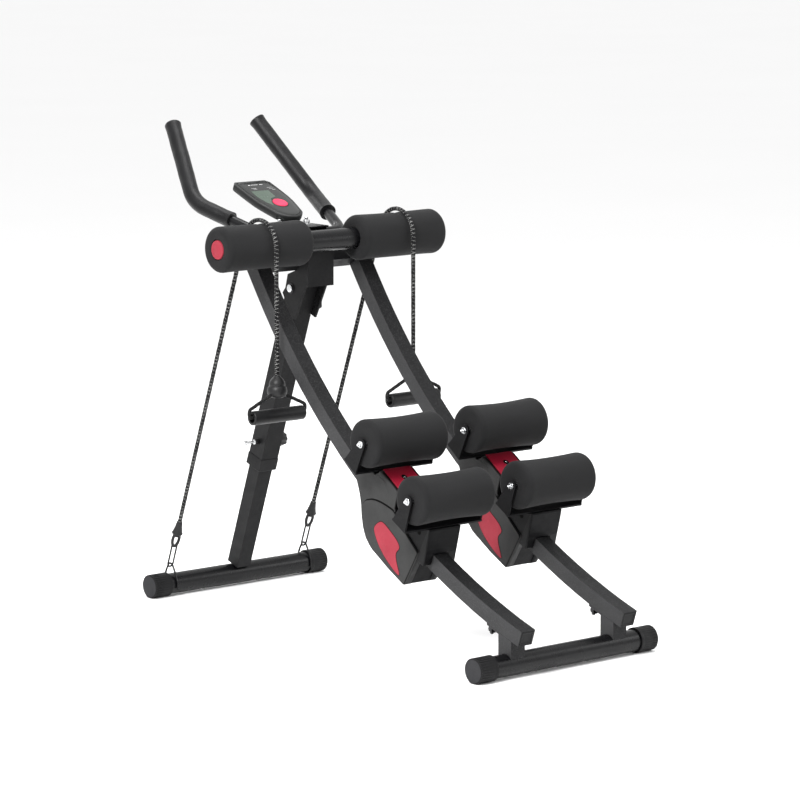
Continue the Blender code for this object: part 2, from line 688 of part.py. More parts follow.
# ---- carriages ----------------------------------------------------------------------------
COVER_OUTLINE = ((-0.022, -0.101), (0.040, -0.101), (0.105, -0.101), (0.130, -0.094), (0.150, -0.080),
                 (0.168, -0.062), (0.184, -0.042), (0.200, -0.027), (0.222, -0.012), (0.240, -0.002),
                 (0.244, 0.043), (0.183, 0.044), (0.181, 0.066), (0.104, 0.066), (0.090, 0.024),
                 (0.040, 0.010), (-0.026, -0.004))
PLATE_OUTLINE = ((-0.034, 0.045), (-0.042, 0.015), (-0.044, -0.018), (0.050, -0.020), (0.078, -0.078), (0.122, -0.078),
                 (0.150, -0.022), (0.234, -0.006), (0.238, 0.045), (0.140, 0.045), (0.050, 0.045))
NOSE_OUTLINE = ((-0.028, -0.022), (-0.026, 0.060), (-0.032, 0.060), (-0.044, 0.015), (-0.050, -0.022))
GUSSET_OUTLINE = ((-0.036, 0.0005), (-0.024, -0.0025), (0.038, 0.0115), (0.048, 0.0135), (0.036, 0.060),
                  (-0.030, 0.060))
BELLY_OUTLINE = ((-0.021, -0.098), (0.104, -0.098), (0.124, -0.092), (0.124, -0.078), (-0.017, -0.078),
                 (-0.017, -0.0375), (-0.021, -0.0375))


def rail_outline(points):
    return [on_rail(run, rise) for run, rise in points]


def roller_fork(frame, name, x, run, mats):
    """Riser, cross plate and two ears with bored tips, welded to the chassis."""
    low, high = FORK_BASE
    riser = rail_outline(((run - 0.022, 0.0435), (run + 0.022, 0.0435), (run + 0.022, low + 0.001),
                          (run - 0.022, low + 0.001)))
    combine(frame, prism(name + "_riser", riser, x - 0.0250, x + 0.0250, mats["grey"]), "UNION")
    plate = rail_outline(((run - 0.029, low), (run + 0.023, low), (run + 0.023, high), (run - 0.029, high)))
    combine(frame, prism(name + "_base", plate, x - EAR_X[1], x + EAR_X[1], mats["grey"]), "UNION")
    ear = rail_outline([(run - 0.028, low), (run + 0.022, low)]
                       + arc_outline((run, ROLLER_RISE), EAR_TIP_R, 0, 180, 8))
    for face, x_low, x_high in (("outer", -EAR_X[1], -EAR_X[0]), ("inner", EAR_X[0], EAR_X[1])):
        combine(frame, prism(f"{name}_{face}_ear", ear, x + x_low, x + x_high, mats["grey"]), "UNION")
    hole = [(x - 0.13, ROLLER_BORE_R), (x + 0.13, ROLLER_BORE_R)]
    combine(frame, turned_x(name + "_bore", hole, on_rail(run, ROLLER_RISE), mats["zinc"], 16), "DIFFERENCE")


def carriage_frame(name, side, mats, pivot):
    """Welded chassis: two side plates over the rail, a bridge, a nose and the two roller forks."""
    x = side * RAIL_X
    bridge = rail_outline(((-0.030, 0.041), (0.100, 0.041), (0.238, 0.041), (0.238, 0.046), (0.100, 0.046),
                           (-0.030, 0.046)))
    frame = prism(name, bridge, x - 0.0270, x + 0.0270, mats["grey"], pivot)
    for label, low, high in (("outer", -0.0270, -0.0230), ("inner", 0.0230, 0.0270)):
        combine(frame, prism(f"{name}_plate_{label}", rail_outline(PLATE_OUTLINE), x + low, x + high, mats["grey"]),
                "UNION")
    nose = prism(name + "_nose", rail_outline(NOSE_OUTLINE), x - 0.044, x + 0.044, mats["black"])
    combine(frame, nose, "UNION")
    combine(frame, prism(name + "_belly", rail_outline(BELLY_OUTLINE), x - 0.0270, x + 0.0270, mats["black"]), "UNION")
    for label, x_low, x_high in (("outer", -0.0455, -0.0425), ("inner", 0.0425, 0.0455)):
        gusset = prism(f"{name}_gusset_{label}", rail_outline(GUSSET_OUTLINE), x + x_low, x + x_high, mats["grey"])
        combine(frame, gusset, "UNION")
    for label, run in ROLLER_RUNS.items():
        roller_fork(frame, f"{name}_{label}", x, run, mats)
    slot = rail_outline(((-0.060, -0.030), (-0.020, -0.030), (-0.020, 0.004), (-0.060, 0.004)))
    return combine(frame, prism(name + "_rail_slot", slot, x - 0.0225, x + 0.0225, mats["grey"]), "DIFFERENCE")


def side_cover(name, side, face, mats, pivot):
    """Moulded shell on one face of the chassis, open towards it."""
    x = side * RAIL_X
    inner, outer = (face * value for value in COVER_X)
    outline = rail_outline(COVER_OUTLINE)
    bm = bmesh.new()
    rim = [bm.verts.new(at(x + inner, place)) for place in outline]
    skin = [bm.verts.new(at(x + outer, place)) for place in outline]
    bm.faces.new(skin)
    for i in range(len(outline)):
        j = (i + 1) % len(outline)
        bm.faces.new((rim[i], rim[j], skin[j], skin[i]))
    cover = finish(name, bm, mats["cover"], pivot)
    shell = cover.modifiers.new("wall", "SOLIDIFY")
    shell.thickness = 0.0025
    shell.offset = -1
    shell.use_even_offset = True
    return cover


def top_plate(name, side, mats, pivot):
    x = side * RAIL_X
    outline = rail_outline(((0.106, 0.0664), (0.180, 0.0664), (0.180, 0.0690), (0.106, 0.0690)))
    return prism(name, outline, x - 0.039, x + 0.039, mats["red"], pivot)


def knee_roller(name, side, run, mats):
    """Foam roller with a bore for its axle; it turns freely."""
    x = side * RAIL_X
    soft = 0.009
    half = ROLLER_HALF
    profile = [(-half, ROLLER_BORE_R), (-half, ROLLER_R - soft), (-half + soft * 0.3, ROLLER_R - soft * 0.3),
               (-half + soft, ROLLER_R), (half - soft, ROLLER_R), (half - soft * 0.3, ROLLER_R - soft * 0.3),
               (half, ROLLER_R - soft), (half, ROLLER_BORE_R)]
    place = on_rail(run, ROLLER_RISE)
    profile = [(x + reach, radius) for reach, radius in profile]
    return turned_x(name, profile, place, mats["foam"], segments=32, closed=True, pivot=at(x, place))


def roller_axle(name, side, run, mats, pivot):
    x = side * RAIL_X
    face = EAR_X[1] + GAP
    profile = [(-face - 0.006, 0.006), (-face - 0.005, 0.0095), (-face, 0.0095), (-face, AXLE_R), (face, AXLE_R),
               (face, 0.0095), (face + 0.005, 0.0095), (face + 0.006, 0.006)]
    profile = [(x + reach, radius) for reach, radius in profile]
    return turned_x(name, profile, on_rail(run, ROLLER_RISE), mats["zinc"], segments=16, pivot=pivot)


def track_wheel(name, side, run, above, mats):
    """Nylon wheel with its own short pin, rolling on the rail's top or underside."""
    x = side * RAIL_X
    rise = WHEEL_R + GAP if above > 0 else -RAIL_HEIGHT - WHEEL_R - GAP
    pin = 0.0225
    profile = [(-pin, 0.004), (-WHEEL_HALF, 0.004), (-WHEEL_HALF, WHEEL_R - 0.002), (-WHEEL_HALF + 0.002, WHEEL_R),
               (WHEEL_HALF - 0.002, WHEEL_R), (WHEEL_HALF, WHEEL_R - 0.002), (WHEEL_HALF, 0.004), (pin, 0.004)]
    place = on_rail(run, rise)
    profile = [(x + reach, radius) for reach, radius in profile]
    return turned_x(name, profile, place, mats["nylon"], segments=16, pivot=at(x, place))


def carriage(side_name, mats):
    side = SIDES[side_name]
    pivot = at(side * RAIL_X, RAIL_CENTRE)
    carriage_frame(side_name + "_carriage_frame", side, mats, pivot)
    side_cover(side_name + "_outer_cover", side, side, mats, pivot)
    side_cover(side_name + "_inner_cover", side, -side, mats, pivot)
    top_plate(side_name + "_top_plate", side, mats, pivot)
    for label, run in ROLLER_RUNS.items():
        knee_roller(f"{side_name}_{label}_roller", side, run, mats)
        roller_axle(f"{side_name}_{label}_axle", side, run, mats, pivot)
    for label, (run, above) in WHEELS.items():
        track_wheel(f"{side_name}_{label}_wheel", side, run, above, mats)


# ---- the whole machine --------------------------------------------------------------------
def clear_scene():
    for obj in list(bpy.data.objects):
        bpy.data.objects.remove(obj, do_unlink=True)


def make_materials():
    table = {"black": (BLACK, 0.45, 0.0), "grey": (GREY, 0.5, 0.0), "cover": (GREY, 0.6, 0.0),
             "plastic": (BLACK, 0.6, 0.0), "foam": (FOAM, 0.85, 0.0), "red": (RED, 0.5, 0.0),
             "zinc": (ZINC, 0.3, 1.0), "lens": ((0.10, 0.14, 0.11), 0.2, 0.0), "rope": (BLACK, 0.8, 0.0),
             "nylon": ((0.4, 0.4, 0.4), 0.5, 0.0)}
    return {name: material(name, *values) for name, values in table.items()}


def front_and_rails(mats):
    foot_tube("front_foot_tube", 0, mats)
    for name, side in SIDES.items():
        foot_cap(f"front_{name}_cap", side, 0, mats)
        rail_foot(name + "_rail_foot", side, mats)
        rail(name + "_rail", side, mats)
    crossbeam(mats)
    hinge_bracket(mats)


def elbow_bar(mats):
    pad_tube(mats)
    for name, side in SIDES.items():
        elbow_pad(name + "_elbow_pad", side, mats)
        pad_plug(name + "_pad_plug", side, mats)


def handlebar_and_monitor(mats):
    handlebar_bracket(mats)
    handlebar_tube(mats)
    for name, side in SIDES.items():
        grip(name + "_grip", side, mats)
    monitor_housing(mats)
    monitor_lens(mats)
    monitor_button(mats)


def rear_leg(mats):
    pivot_bolt(mats)
    upright_sleeve(mats)
    lock_knob("fold_knob", LOCK_RUN, [(0.0254, 0.004), (0.0334, 0.004), (0.0334, 0.008), (0.040, 0.008),
                                      (0.042, 0.017), (0.058, 0.019), (0.062, 0.015)], mats)
    lock_knob("height_knob", HEIGHT_PIN_RUN, [(0.0254, 0.009), (0.029, 0.009), (0.030, 0.016), (0.042, 0.0175),
                                              (0.046, 0.014)], mats)
    height_pin(mats)
    lower_post(mats)
    pivot = at(0, LEG_FOOT)
    foot_tube("rear_foot_tube", WHEELBASE, mats, pivot)
    for name, side in SIDES.items():
        foot_cap(f"rear_{name}_cap", side, WHEELBASE, mats, pivot)
        d_ring(name + "_d_ring", name, mats, pivot)
        rope_hook(name + "_rope_hook", name, mats, pivot)


def main():
    clear_scene()
    bpy.context.collection.objects.link(bpy.data.objects.new("machine", None))
    mats = make_materials()
    front_and_rails(mats)
    elbow_bar(mats)
    handlebar_and_monitor(mats)
    rear_leg(mats)
    for name in SIDES:
        rope(name + "_rope", name, mats)
        rope_handle(name + "_rope_handle", name, mats)
        carriage(name, mats)


main()
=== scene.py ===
import bmesh
import bpy
import math
from mathutils import Matrix, Vector, noise


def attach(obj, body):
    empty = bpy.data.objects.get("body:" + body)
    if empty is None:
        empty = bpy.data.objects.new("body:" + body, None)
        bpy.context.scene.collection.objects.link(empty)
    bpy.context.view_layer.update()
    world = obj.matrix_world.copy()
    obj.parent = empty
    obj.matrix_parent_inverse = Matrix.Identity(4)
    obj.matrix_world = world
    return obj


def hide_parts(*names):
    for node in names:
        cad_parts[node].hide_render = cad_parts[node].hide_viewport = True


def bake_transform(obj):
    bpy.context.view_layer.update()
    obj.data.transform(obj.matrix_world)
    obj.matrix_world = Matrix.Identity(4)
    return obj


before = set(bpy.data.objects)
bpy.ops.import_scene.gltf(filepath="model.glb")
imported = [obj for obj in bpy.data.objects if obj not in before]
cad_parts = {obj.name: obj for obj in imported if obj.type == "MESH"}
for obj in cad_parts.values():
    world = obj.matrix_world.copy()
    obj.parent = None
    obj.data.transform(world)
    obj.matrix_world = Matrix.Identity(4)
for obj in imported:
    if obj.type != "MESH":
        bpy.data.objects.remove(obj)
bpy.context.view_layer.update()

# ---- dimensions shared with the CAD model, in metres ----
# A place is (y, z), with y counted from the front foot's axis; `at` moves it into the frame.
# A run and a rise are distances along a rail or the screen, and square to it.
ORIGIN = 0.6064
RAIL_X, RAIL_HEIGHT, RAIL_R = 0.1525, 0.036, 1.734
RAIL_CENTRE, RAIL_START = (-0.589, 1.760), math.radians(30)
RAIL_LOW_END, SADDLE_BOLT_Y = -0.053, 0.058
PAD_AXIS, PAD_R, PAD_X = (0.820, 0.877), 0.0535, (0.078, 0.326)
PAD_BORE, PLUG_R = 0.0253, 0.0221
TUBE_R, PAD_TUBE_HALF, FOOT_TUBE_HALF = 0.025, 0.317, 0.2594
ROPE_R, ROPE_TURN_R = 0.0052, 0.0606
ROPE_X = {"left": -0.201, "right": 0.211}
SIDES = {"left": -1, "right": 1}
LEG_PIVOT, LEG_FOOT = (0.918, 0.757), (1.178, 0.0285)
FOLD_KNOB_RUN, HEIGHT_KNOB_RUN, COLLAR_RUNS = 0.046, 0.408, (0.4475, 0.4785)
ROLLER_R, ROLLER_HALF, ROLLER_RISE = 0.0555, 0.103, 0.126
ROLLER_RUNS = {"lower": 0.005, "upper": 0.213}
EAR_FACE = 0.1125
FOOT_AXIS_Z, CAP_R, CAP_LENGTH, FOOT_HALF = 0.0285, 0.029, 0.051, 0.265
BAR_R, GRIP_R, BEND_REACH = 0.0127, 0.0195, 0.036
ELBOW, TIP, BEND = (0.180, 1.099, 0.955), (0.1275, 1.2505, 1.1270), (0.113, 0.905, 0.885)
HANDLE_Z, HANDLE_HALF, STOPPER_TOP = 0.490, 0.075, 0.583
SCREEN_BUTTON, SCREEN_TILT = (0.999, 0.951), math.radians(22)
FALL = PAD_AXIS[0] - 0.0612  # the y at which the ropes hang, in front of the pads
COVER_SKIN, COVER_RIM = 0.0478, 0.0277
PLATE_HALF, PLATE_RUNS, PLATE_RISES = 0.0385, (0.1062, 0.1798), (0.0664, 0.0690)
PLATE_SCREW_RUN, GUSSET_HOLE, HOOK_Z = 0.146, (-0.003, 0.036), 0.078
ACROSS, UP = (1, 0, 0), (0, 0, 1)

# ---- finish, in metres ----
WASHER_THICK = 0.0012
PAD_GROOVE, GROOVE_WIDTH = 0.0021, 0.0075
PAD_WAIST, ROLLER_WAIST = 0.0012, 0.0036
GRIP_STEP, LOOP_R = 0.006, 0.0042


# ---- places ----
def at(x, place):
    return Vector((x, place[0] - ORIGIN, place[1]))


def on_rail(run, rise):
    angle = RAIL_START + run / RAIL_R
    reach = RAIL_R - rise
    return (RAIL_CENTRE[0] + reach * math.sin(angle), RAIL_CENTRE[1] - reach * math.cos(angle))


def on_screen(run, rise):
    c, s = math.cos(SCREEN_TILT), math.sin(SCREEN_TILT)
    return (SCREEN_BUTTON[0] + run * c - rise * s, SCREEN_BUTTON[1] + run * s + rise * c)


LEG = math.dist(LEG_PIVOT, LEG_FOOT)
LEG_DOWN = ((LEG_FOOT[0] - LEG_PIVOT[0]) / LEG, (LEG_FOOT[1] - LEG_PIVOT[1]) / LEG)


def on_leg(run):
    return (LEG_PIVOT[0] + run * LEG_DOWN[0], LEG_PIVOT[1] + run * LEG_DOWN[1])


def arc(centre, radius, start, end, steps):
    return [(centre[0] + radius * math.cos(math.radians(start + (end - start) * k / steps)),
             centre[1] + radius * math.sin(math.radians(start + (end - start) * k / steps)))
            for k in range(steps + 1)]


def rounded(before, corner, after, reach, steps):
    """Points of a curve that cuts a corner, starting `reach` before it."""
    start = corner + (before - corner).normalized() * reach
    end = corner + (after - corner).normalized() * reach
    return [(1 - t) ** 2 * start + 2 * t * (1 - t) * corner + t ** 2 * end
            for t in [k / steps for k in range(steps + 1)]]


def bend_path(corners, reach, steps):
    path = [corners[0]]
    for before, corner, after in zip(corners, corners[1:], corners[2:]):
        path += rounded(before, corner, after, reach, steps)
    return path + [corners[-1]]


def resample(points, step):
    out, left = [points[0]], step
    for a, b in zip(points, points[1:]):
        length, done = (b - a).length, 0.0
        while length - done >= left:
            done += left
            out.append(a.lerp(b, done / length))
            left = step
        left -= length - done
    if (out[-1] - points[-1]).length > step * 0.3:
        out.append(points[-1])
    else:
        out[-1] = points[-1]
    return out


def closed_curve(points, parts):
    n, out = len(points), []
    for i in range(n):
        a, b, c, d = (Vector(points[(i + k) % n]) for k in (-1, 0, 1, 2))
        for k in range(parts):
            t = k / parts
            out.append(0.5 * (2 * b + (c - a) * t + (2 * a - 5 * b + 4 * c - d) * t ** 2
                              + (3 * b - a - 3 * c + d) * t ** 3))
    return out


def fillet(points, reach, steps=3):
    n, out = len(points), []
    for i in range(n):
        before, corner, after = (Vector(points[(i + k) % n]) for k in (-1, 0, 1))
        r = min(reach, (before - corner).length * 0.45, (after - corner).length * 0.45)
        out += rounded(before, corner, after, r, steps)
    return out


# ---- materials ----
class Shader:
    """A Principled material with a few helpers for its node graph."""

    def __init__(self, name, roughness, metallic=0.0, sheen=0.0, gloss=0.2):
        self.mat = bpy.data.materials.new(name)
        self.mat.use_nodes = True
        self.nodes, self.links = self.mat.node_tree.nodes, self.mat.node_tree.links
        self.bsdf = self.nodes["Principled BSDF"]
        self.bsdf.inputs["Roughness"].default_value = roughness
        self.bsdf.inputs["Metallic"].default_value = metallic
        self.bsdf.inputs["Specular IOR Level"].default_value = gloss
        self.bsdf.inputs["Sheen Weight"].default_value = sheen
        self.bsdf.inputs["Sheen Roughness"].default_value = 0.5
        self.coord = self.nodes.new("ShaderNodeTexCoord")

    def join(self, out, into):
        self.links.new(out, into)

    def noise(self, scale, detail=4.0, stretch=None):
        tex = self.nodes.new("ShaderNodeTexNoise")
        tex.inputs["Scale"].default_value = scale
        tex.inputs["Detail"].default_value = detail
        source = self.coord.outputs["Object"]
        if stretch:
            mapping = self.nodes.new("ShaderNodeMapping")
            mapping.inputs["Scale"].default_value = stretch
            self.join(source, mapping.inputs["Vector"])
            source = mapping.outputs["Vector"]
        self.join(source, tex.inputs["Vector"])
        return tex.outputs["Fac"]

    def cells(self, scale):
        tex = self.nodes.new("ShaderNodeTexVoronoi")
        tex.inputs["Scale"].default_value = scale
        self.join(self.coord.outputs["Object"], tex.inputs["Vector"])
        return tex.outputs["Distance"]

    def math(self, operation, a, b=0.0):
        node = self.nodes.new("ShaderNodeMath")
        node.operation = operation
        for socket, value in zip(node.inputs, (a, b)):
            if isinstance(value, (int, float)):
                socket.default_value = value
            else:
                self.join(value, socket)
        return node.outputs[0]

    def ramp(self, fac, low, high, dark, light):
        node = self.nodes.new("ShaderNodeMapRange")
        node.data_type = "FLOAT"
        for name, value in (("From Min", low), ("From Max", high), ("To Min", dark), ("To Max", light)):
            node.inputs[name].default_value = value
        self.join(fac, node.inputs["Value"])
        return node.outputs["Result"]

    def mix(self, fac, one, two):
        node = self.nodes.new("ShaderNodeMix")
        node.data_type = "RGBA"
        for name, value in (("Factor", fac), ("A", one), ("B", two)):
            kind = "VALUE" if name == "Factor" else "RGBA"
            socket = next(s for s in node.inputs if s.name == name and s.type == kind)
            if isinstance(value, (int, float)):
                socket.default_value = value
            elif isinstance(value, tuple):
                socket.default_value = (*value, 1)
            else:
                self.join(value, socket)
        return next(s for s in node.outputs if s.type == "RGBA")

    def bump(self, height, strength, distance, edge=0.0):
        node = self.nodes.new("ShaderNodeBump")
        node.inputs["Strength"].default_value = strength
        node.inputs["Distance"].default_value = distance
        self.join(height, node.inputs["Height"])
        if edge:
            bevel = self.nodes.new("ShaderNodeBevel")
            bevel.samples = 4
            bevel.inputs["Radius"].default_value = edge
            self.join(bevel.outputs["Normal"], node.inputs["Normal"])
        self.join(node.outputs["Normal"], self.bsdf.inputs["Normal"])

    # Painted light: a mask of the faces that look along X, which painted() gives the lighter side colour as
    # if lit from the side.
    def lit_side_mask(self):
        parts = self.nodes.new("ShaderNodeSeparateXYZ")
        self.join(self.coord.outputs["Normal"], parts.inputs[0])
        return self.ramp(self.math("ABSOLUTE", parts.outputs["X"]), 0.55, 0.8, 0.0, 1.0)


def scaled(colour, k):
    return tuple(v * k for v in colour)


def painted(name, colour, side=None, roughness=(0.42, 0.58), grain=560.0, depth=0.5, edge=0.0009,
            gloss=0.22):
    """Powder-coated steel: mottled colour, orange-peel bump, softened edges, and scuffed patches drawn as
    lighter streaks that are partly wear and partly painted highlight.

    `side` is a second colour, for the faces that look along X: painted light, which makes those faces lighter
    as if lit from the side."""
    s = Shader(name, roughness[0], gloss=gloss)
    broad = s.noise(9.0, 3.0)
    scuff_and_highlight = s.noise(60.0, 6.0, (1.0, 0.25, 1.0))
    fine = s.noise(grain, 2.0)
    tone = s.mix(s.ramp(broad, 0.35, 0.65, 0.0, 1.0), scaled(colour, 0.85), scaled(colour, 1.18))
    # Painted light: the faces that look along X take the lighter side colour.
    if side:
        lit_flank = s.mix(s.ramp(broad, 0.35, 0.65, 0.0, 1.0), scaled(side, 0.9), scaled(side, 1.1))
        tone = s.mix(s.lit_side_mask(), tone, lit_flank)
    speck = s.mix(s.ramp(fine, 0.54, 0.70, 0.0, 0.55), tone, scaled(side or colour, 2.3))
    # Lighter streaks along Y: partly scuffed wear, partly painted highlight.
    worn_and_highlight = s.mix(s.ramp(scuff_and_highlight, 0.66, 0.80, 0.0, 0.25), speck, scaled(side or colour, 1.9))
    s.join(worn_and_highlight, s.bsdf.inputs["Base Color"])
    s.join(s.ramp(scuff_and_highlight, 0.3, 0.7, *roughness), s.bsdf.inputs["Roughness"])
    s.bump(fine, depth, 0.0004, edge)
    return s.mat


def moulded(name, colour, roughness, grain=1400.0, edge=0.0008, depth=0.25, gloss=0.2):
    """Injection-moulded plastic with a fine spark-eroded grain."""
    s = Shader(name, roughness, gloss=gloss)
    broad = s.noise(14.0, 3.0)
    grain_out = s.cells(grain)
    tone = s.mix(s.ramp(broad, 0.3, 0.7, 0.0, 1.0), scaled(colour, 0.9), scaled(colour, 1.12))
    dusty = s.mix(s.ramp(s.noise(220.0, 5.0), 0.6, 0.78, 0.0, 0.22), tone, scaled(colour, 1.8))
    s.join(dusty, s.bsdf.inputs["Base Color"])
    uneven = s.noise(40.0, 4.0)
    s.join(s.ramp(uneven, 0.3, 0.7, roughness - 0.07, roughness + 0.09), s.bsdf.inputs["Roughness"])
    s.bump(grain_out, depth, 0.0003, edge)
    return s.mat


def foam_material(name, colour, lengthwise=True, roughness=(0.70, 0.88), gloss=0.12):
    """Closed-cell foam: skinned surface with fine pores and long handling marks."""
    s = Shader(name, 0.8, sheen=0.03, gloss=gloss)
    pores = s.cells(1100.0)
    marks = s.noise(26.0, 5.0, (0.25, 1.0, 1.0) if lengthwise else None)
    tone = s.mix(s.ramp(marks, 0.3, 0.72, 0.0, 1.0), scaled(colour, 0.82), scaled(colour, 1.28))
    specks = s.mix(s.ramp(pores, 0.0, 0.35, 0.45, 0.0), tone, scaled(colour, 0.35))
    s.join(specks, s.bsdf.inputs["Base Color"])
    s.join(s.ramp(marks, 0.3, 0.7, *roughness), s.bsdf.inputs["Roughness"])
    height = s.math("ADD", s.math("MULTIPLY", pores, 0.6), s.math("MULTIPLY", s.noise(480.0, 4.0), 0.6))
    s.bump(height, 0.45, 0.0006)
    return s.mat


def plated(name, colour=(0.74, 0.75, 0.76)):
    """Bright zinc plate, faintly brushed and clouded."""
    s = Shader(name, 0.22, metallic=1.0, gloss=0.5)
    cloud = s.noise(120.0, 4.0)
    tone = s.mix(s.ramp(cloud, 0.35, 0.7, 0.0, 1.0), scaled(colour, 0.82), colour)
    s.join(tone, s.bsdf.inputs["Base Color"])
    s.join(s.ramp(cloud, 0.3, 0.7, 0.16, 0.34), s.bsdf.inputs["Roughness"])
    s.bump(s.noise(900.0, 2.0, (1.0, 0.1, 1.0)), 0.15, 0.0002, 0.0004)
    return s.mat


def braided(name):
    """Black braided cover with pale tracer threads; v runs along the rope in centimetres."""
    slope, thread = 1.1, 0.13
    s = Shader(name, 0.75, sheen=0.03, gloss=0.1)
    uv = s.nodes.new("ShaderNodeUVMap")
    uv.uv_map = "along"
    parts = s.nodes.new("ShaderNodeSeparateXYZ")
    s.join(uv.outputs["UV"], parts.inputs[0])
    around, along = parts.outputs["X"], parts.outputs["Y"]
    pitch = s.math("MULTIPLY", along, slope)
    one = s.math("FRACT", s.math("ADD", around, pitch))
    two = s.math("FRACT", s.math("ADD", s.math("SUBTRACT", around, pitch), 100.0))
    weave = s.math("SINE", s.math("MULTIPLY", s.math("ADD", around, s.math("MULTIPLY", along, 0.9)), 24.0))
    gate = s.math("GREATER_THAN", weave, 0.1)
    line = s.math("MAXIMUM", s.math("LESS_THAN", one, thread), s.math("LESS_THAN", two, thread))
    fleck = s.math("MULTIPLY", line, gate)
    fibres = s.noise(700.0, 4.0)
    black = s.mix(s.ramp(fibres, 0.3, 0.7, 0.0, 1.0), (0.002, 0.002, 0.0025), (0.010, 0.010, 0.011))
    s.join(s.mix(s.math("MULTIPLY", fleck, 0.85), black, (0.34, 0.34, 0.33)), s.bsdf.inputs["Base Color"])
    s.bump(fibres, 0.5, 0.0005)
    return s.mat


def loop_braid(name):
    """Dark cord of the handle loops, with a few pale fibres."""
    s = Shader(name, 0.75, sheen=0.03, gloss=0.1)
    fibres = s.noise(600.0, 4.0)
    tone = s.mix(s.ramp(fibres, 0.56, 0.7, 0.0, 0.5), (0.006, 0.006, 0.0065), (0.22, 0.22, 0.21))
    s.join(tone, s.bsdf.inputs["Base Color"])
    s.bump(fibres, 0.5, 0.0005)
    return s.mat


MAT = {
    "black": painted("black_powder_coat", (0.0025, 0.0025, 0.003), roughness=(0.24, 0.34), depth=0.10,
                     gloss=0.24),
    # Rail, leg and chassis: the second colour is painted light on the faces that look along X.
    "rail": painted("rail_powder_coat_lit_sides", (0.0045, 0.0045, 0.005), (0.030, 0.030, 0.031), gloss=0.16),
    "leg": painted("leg_powder_coat_lit_sides", (0.0045, 0.0045, 0.005), (0.008, 0.008, 0.0085), gloss=0.14),
    "chassis": painted("chassis_powder_coat_lit_sides", (0.0030, 0.0030, 0.0035), (0.0060, 0.0060, 0.0065), gloss=0.10),
    "cap": moulded("cap_moulding", (0.0055, 0.0055, 0.006), 0.5, gloss=0.16),
    "cap_face": moulded("cap_face_moulding", (0.022, 0.022, 0.024), 0.55, gloss=0.14),
    "cover": moulded("cover_moulding", (0.033, 0.033, 0.033), 0.58, gloss=0.12),
    "nose": moulded("nose_moulding", (0.0032, 0.0032, 0.0036), 0.42, gloss=0.16),
    # Painted shade: a near-black sheet laid where seams, gaps and holes would be in shade.
    "seam": moulded("seam_shadow", (0.002, 0.002, 0.002), 0.7, gloss=0.05),
    "shell": moulded("monitor_moulding", (0.009, 0.0095, 0.0095), 0.42, gloss=0.3),
    "knob": moulded("knob_moulding", (0.005, 0.005, 0.0055), 0.42, gloss=0.35),
    "foam": foam_material("foam_skin", (0.0110, 0.0110, 0.0115)),
    "grip": foam_material("grip_foam", (0.0035, 0.0035, 0.004), False, (0.34, 0.46), 0.22),
    "red": moulded("red_moulding", (0.27, 0.028, 0.043), 0.5, gloss=0.12),
    "plate_red": moulded("plate_red_moulding", (0.26, 0.0055, 0.022), 0.38, gloss=0.4),
    "button": moulded("button_red", (0.62, 0.034, 0.085), 0.45),
    "zinc": plated("bright_zinc"),
    "dark_zinc": plated("black_zinc", (0.05, 0.05, 0.052)),
    "lens": moulded("display_window", (0.008, 0.009, 0.0085), 0.16, depth=0.02, gloss=0.4),
    "lcd": moulded("display_with_painted_reflection", (0.050, 0.076, 0.056), 0.22, depth=0.02, gloss=0.4),
    "mark": moulded("pale_window_bar", (0.62, 0.62, 0.62), 0.5, depth=0.05),
    "nylon": moulded("wheel_nylon", (0.30, 0.30, 0.29), 0.4),
    "rope": braided("braided_rope"),
    "dark_loop": loop_braid("handle_loop_braid"),
}


# ---- pieces ----
def placed(name, data):
    obj = bpy.data.objects.new(name, data)
    bpy.context.scene.collection.objects.link(obj)
    return obj


def piece(name, bm, mats, body, replaces=(), sharp=35.0):
    bmesh.ops.remove_doubles(bm, verts=bm.verts, dist=1e-6)
    bmesh.ops.recalc_face_normals(bm, faces=bm.faces)
    mesh = bpy.data.meshes.new(name)
    bm.to_mesh(mesh)
    bm.free()
    for mat in mats if isinstance(mats, (list, tuple)) else [mats]:
        mesh.materials.append(MAT[mat])
    mesh.shade_smooth()
    mesh.set_sharp_from_angle(angle=math.radians(sharp))
    obj = placed(name, mesh)
    if body:
        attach(obj, body)
    if replaces:
        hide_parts(*replaces)
    return obj


def loft(bm, rings, close_ends=True, closed=False, material=0):
    """Bridge rings of points in order; each ring has the same number of points."""
    verts = [[bm.verts.new(p) for p in ring] for ring in rings]
    pairs = list(zip(verts, verts[1:]))
    if closed:
        pairs.append((verts[-1], verts[0]))
    n = len(verts[0])
    faces = []
    for one, two in pairs:
        for k in range(n):
            j = (k + 1) % n
            faces.append(bm.faces.new((one[k], one[j], two[j], two[k])))
    if close_ends and not closed:
        faces.append(bm.faces.new(verts[0][::-1]))
        faces.append(bm.faces.new(verts[-1]))
    for f in faces:
        f.material_index = material
    return verts


def turn_rings(profile, base, direction, segments, shape=None):
    """Rings of a turned shape; `shape(reach, angle, radius)` may change each radius."""
    tilt = Vector((0, 0, 1)).rotation_difference(Vector(direction)).to_matrix().to_4x4()
    turn = Matrix.Translation(base) @ tilt
    rings = []
    for reach, radius in profile:
        ring = []
        for i in range(segments):
            angle = 2 * math.pi * i / segments
            r = shape(reach, angle, radius) if shape else radius
            ring.append(turn @ Vector((r * math.cos(angle), r * math.sin(angle), reach)))
        rings.append(ring)
    return rings


def tube_rings(points, radius, sides):
    """Rings along a path; `radius` is a number or a function of ring and angle."""
    rings, up = [], Vector((0.3, 0.2, 1))
    for i, point in enumerate(points):
        heading = (points[min(i + 1, len(points) - 1)] - points[max(i - 1, 0)]).normalized()
        side = heading.cross(up).normalized()
        up = side.cross(heading).normalized()
        ring = []
        for k in range(sides):
            angle = 2 * math.pi * k / sides
            r = radius(i, angle) if callable(radius) else radius
            ring.append(point + r * (math.cos(angle) * side + math.sin(angle) * up))
        rings.append(ring)
    return rings


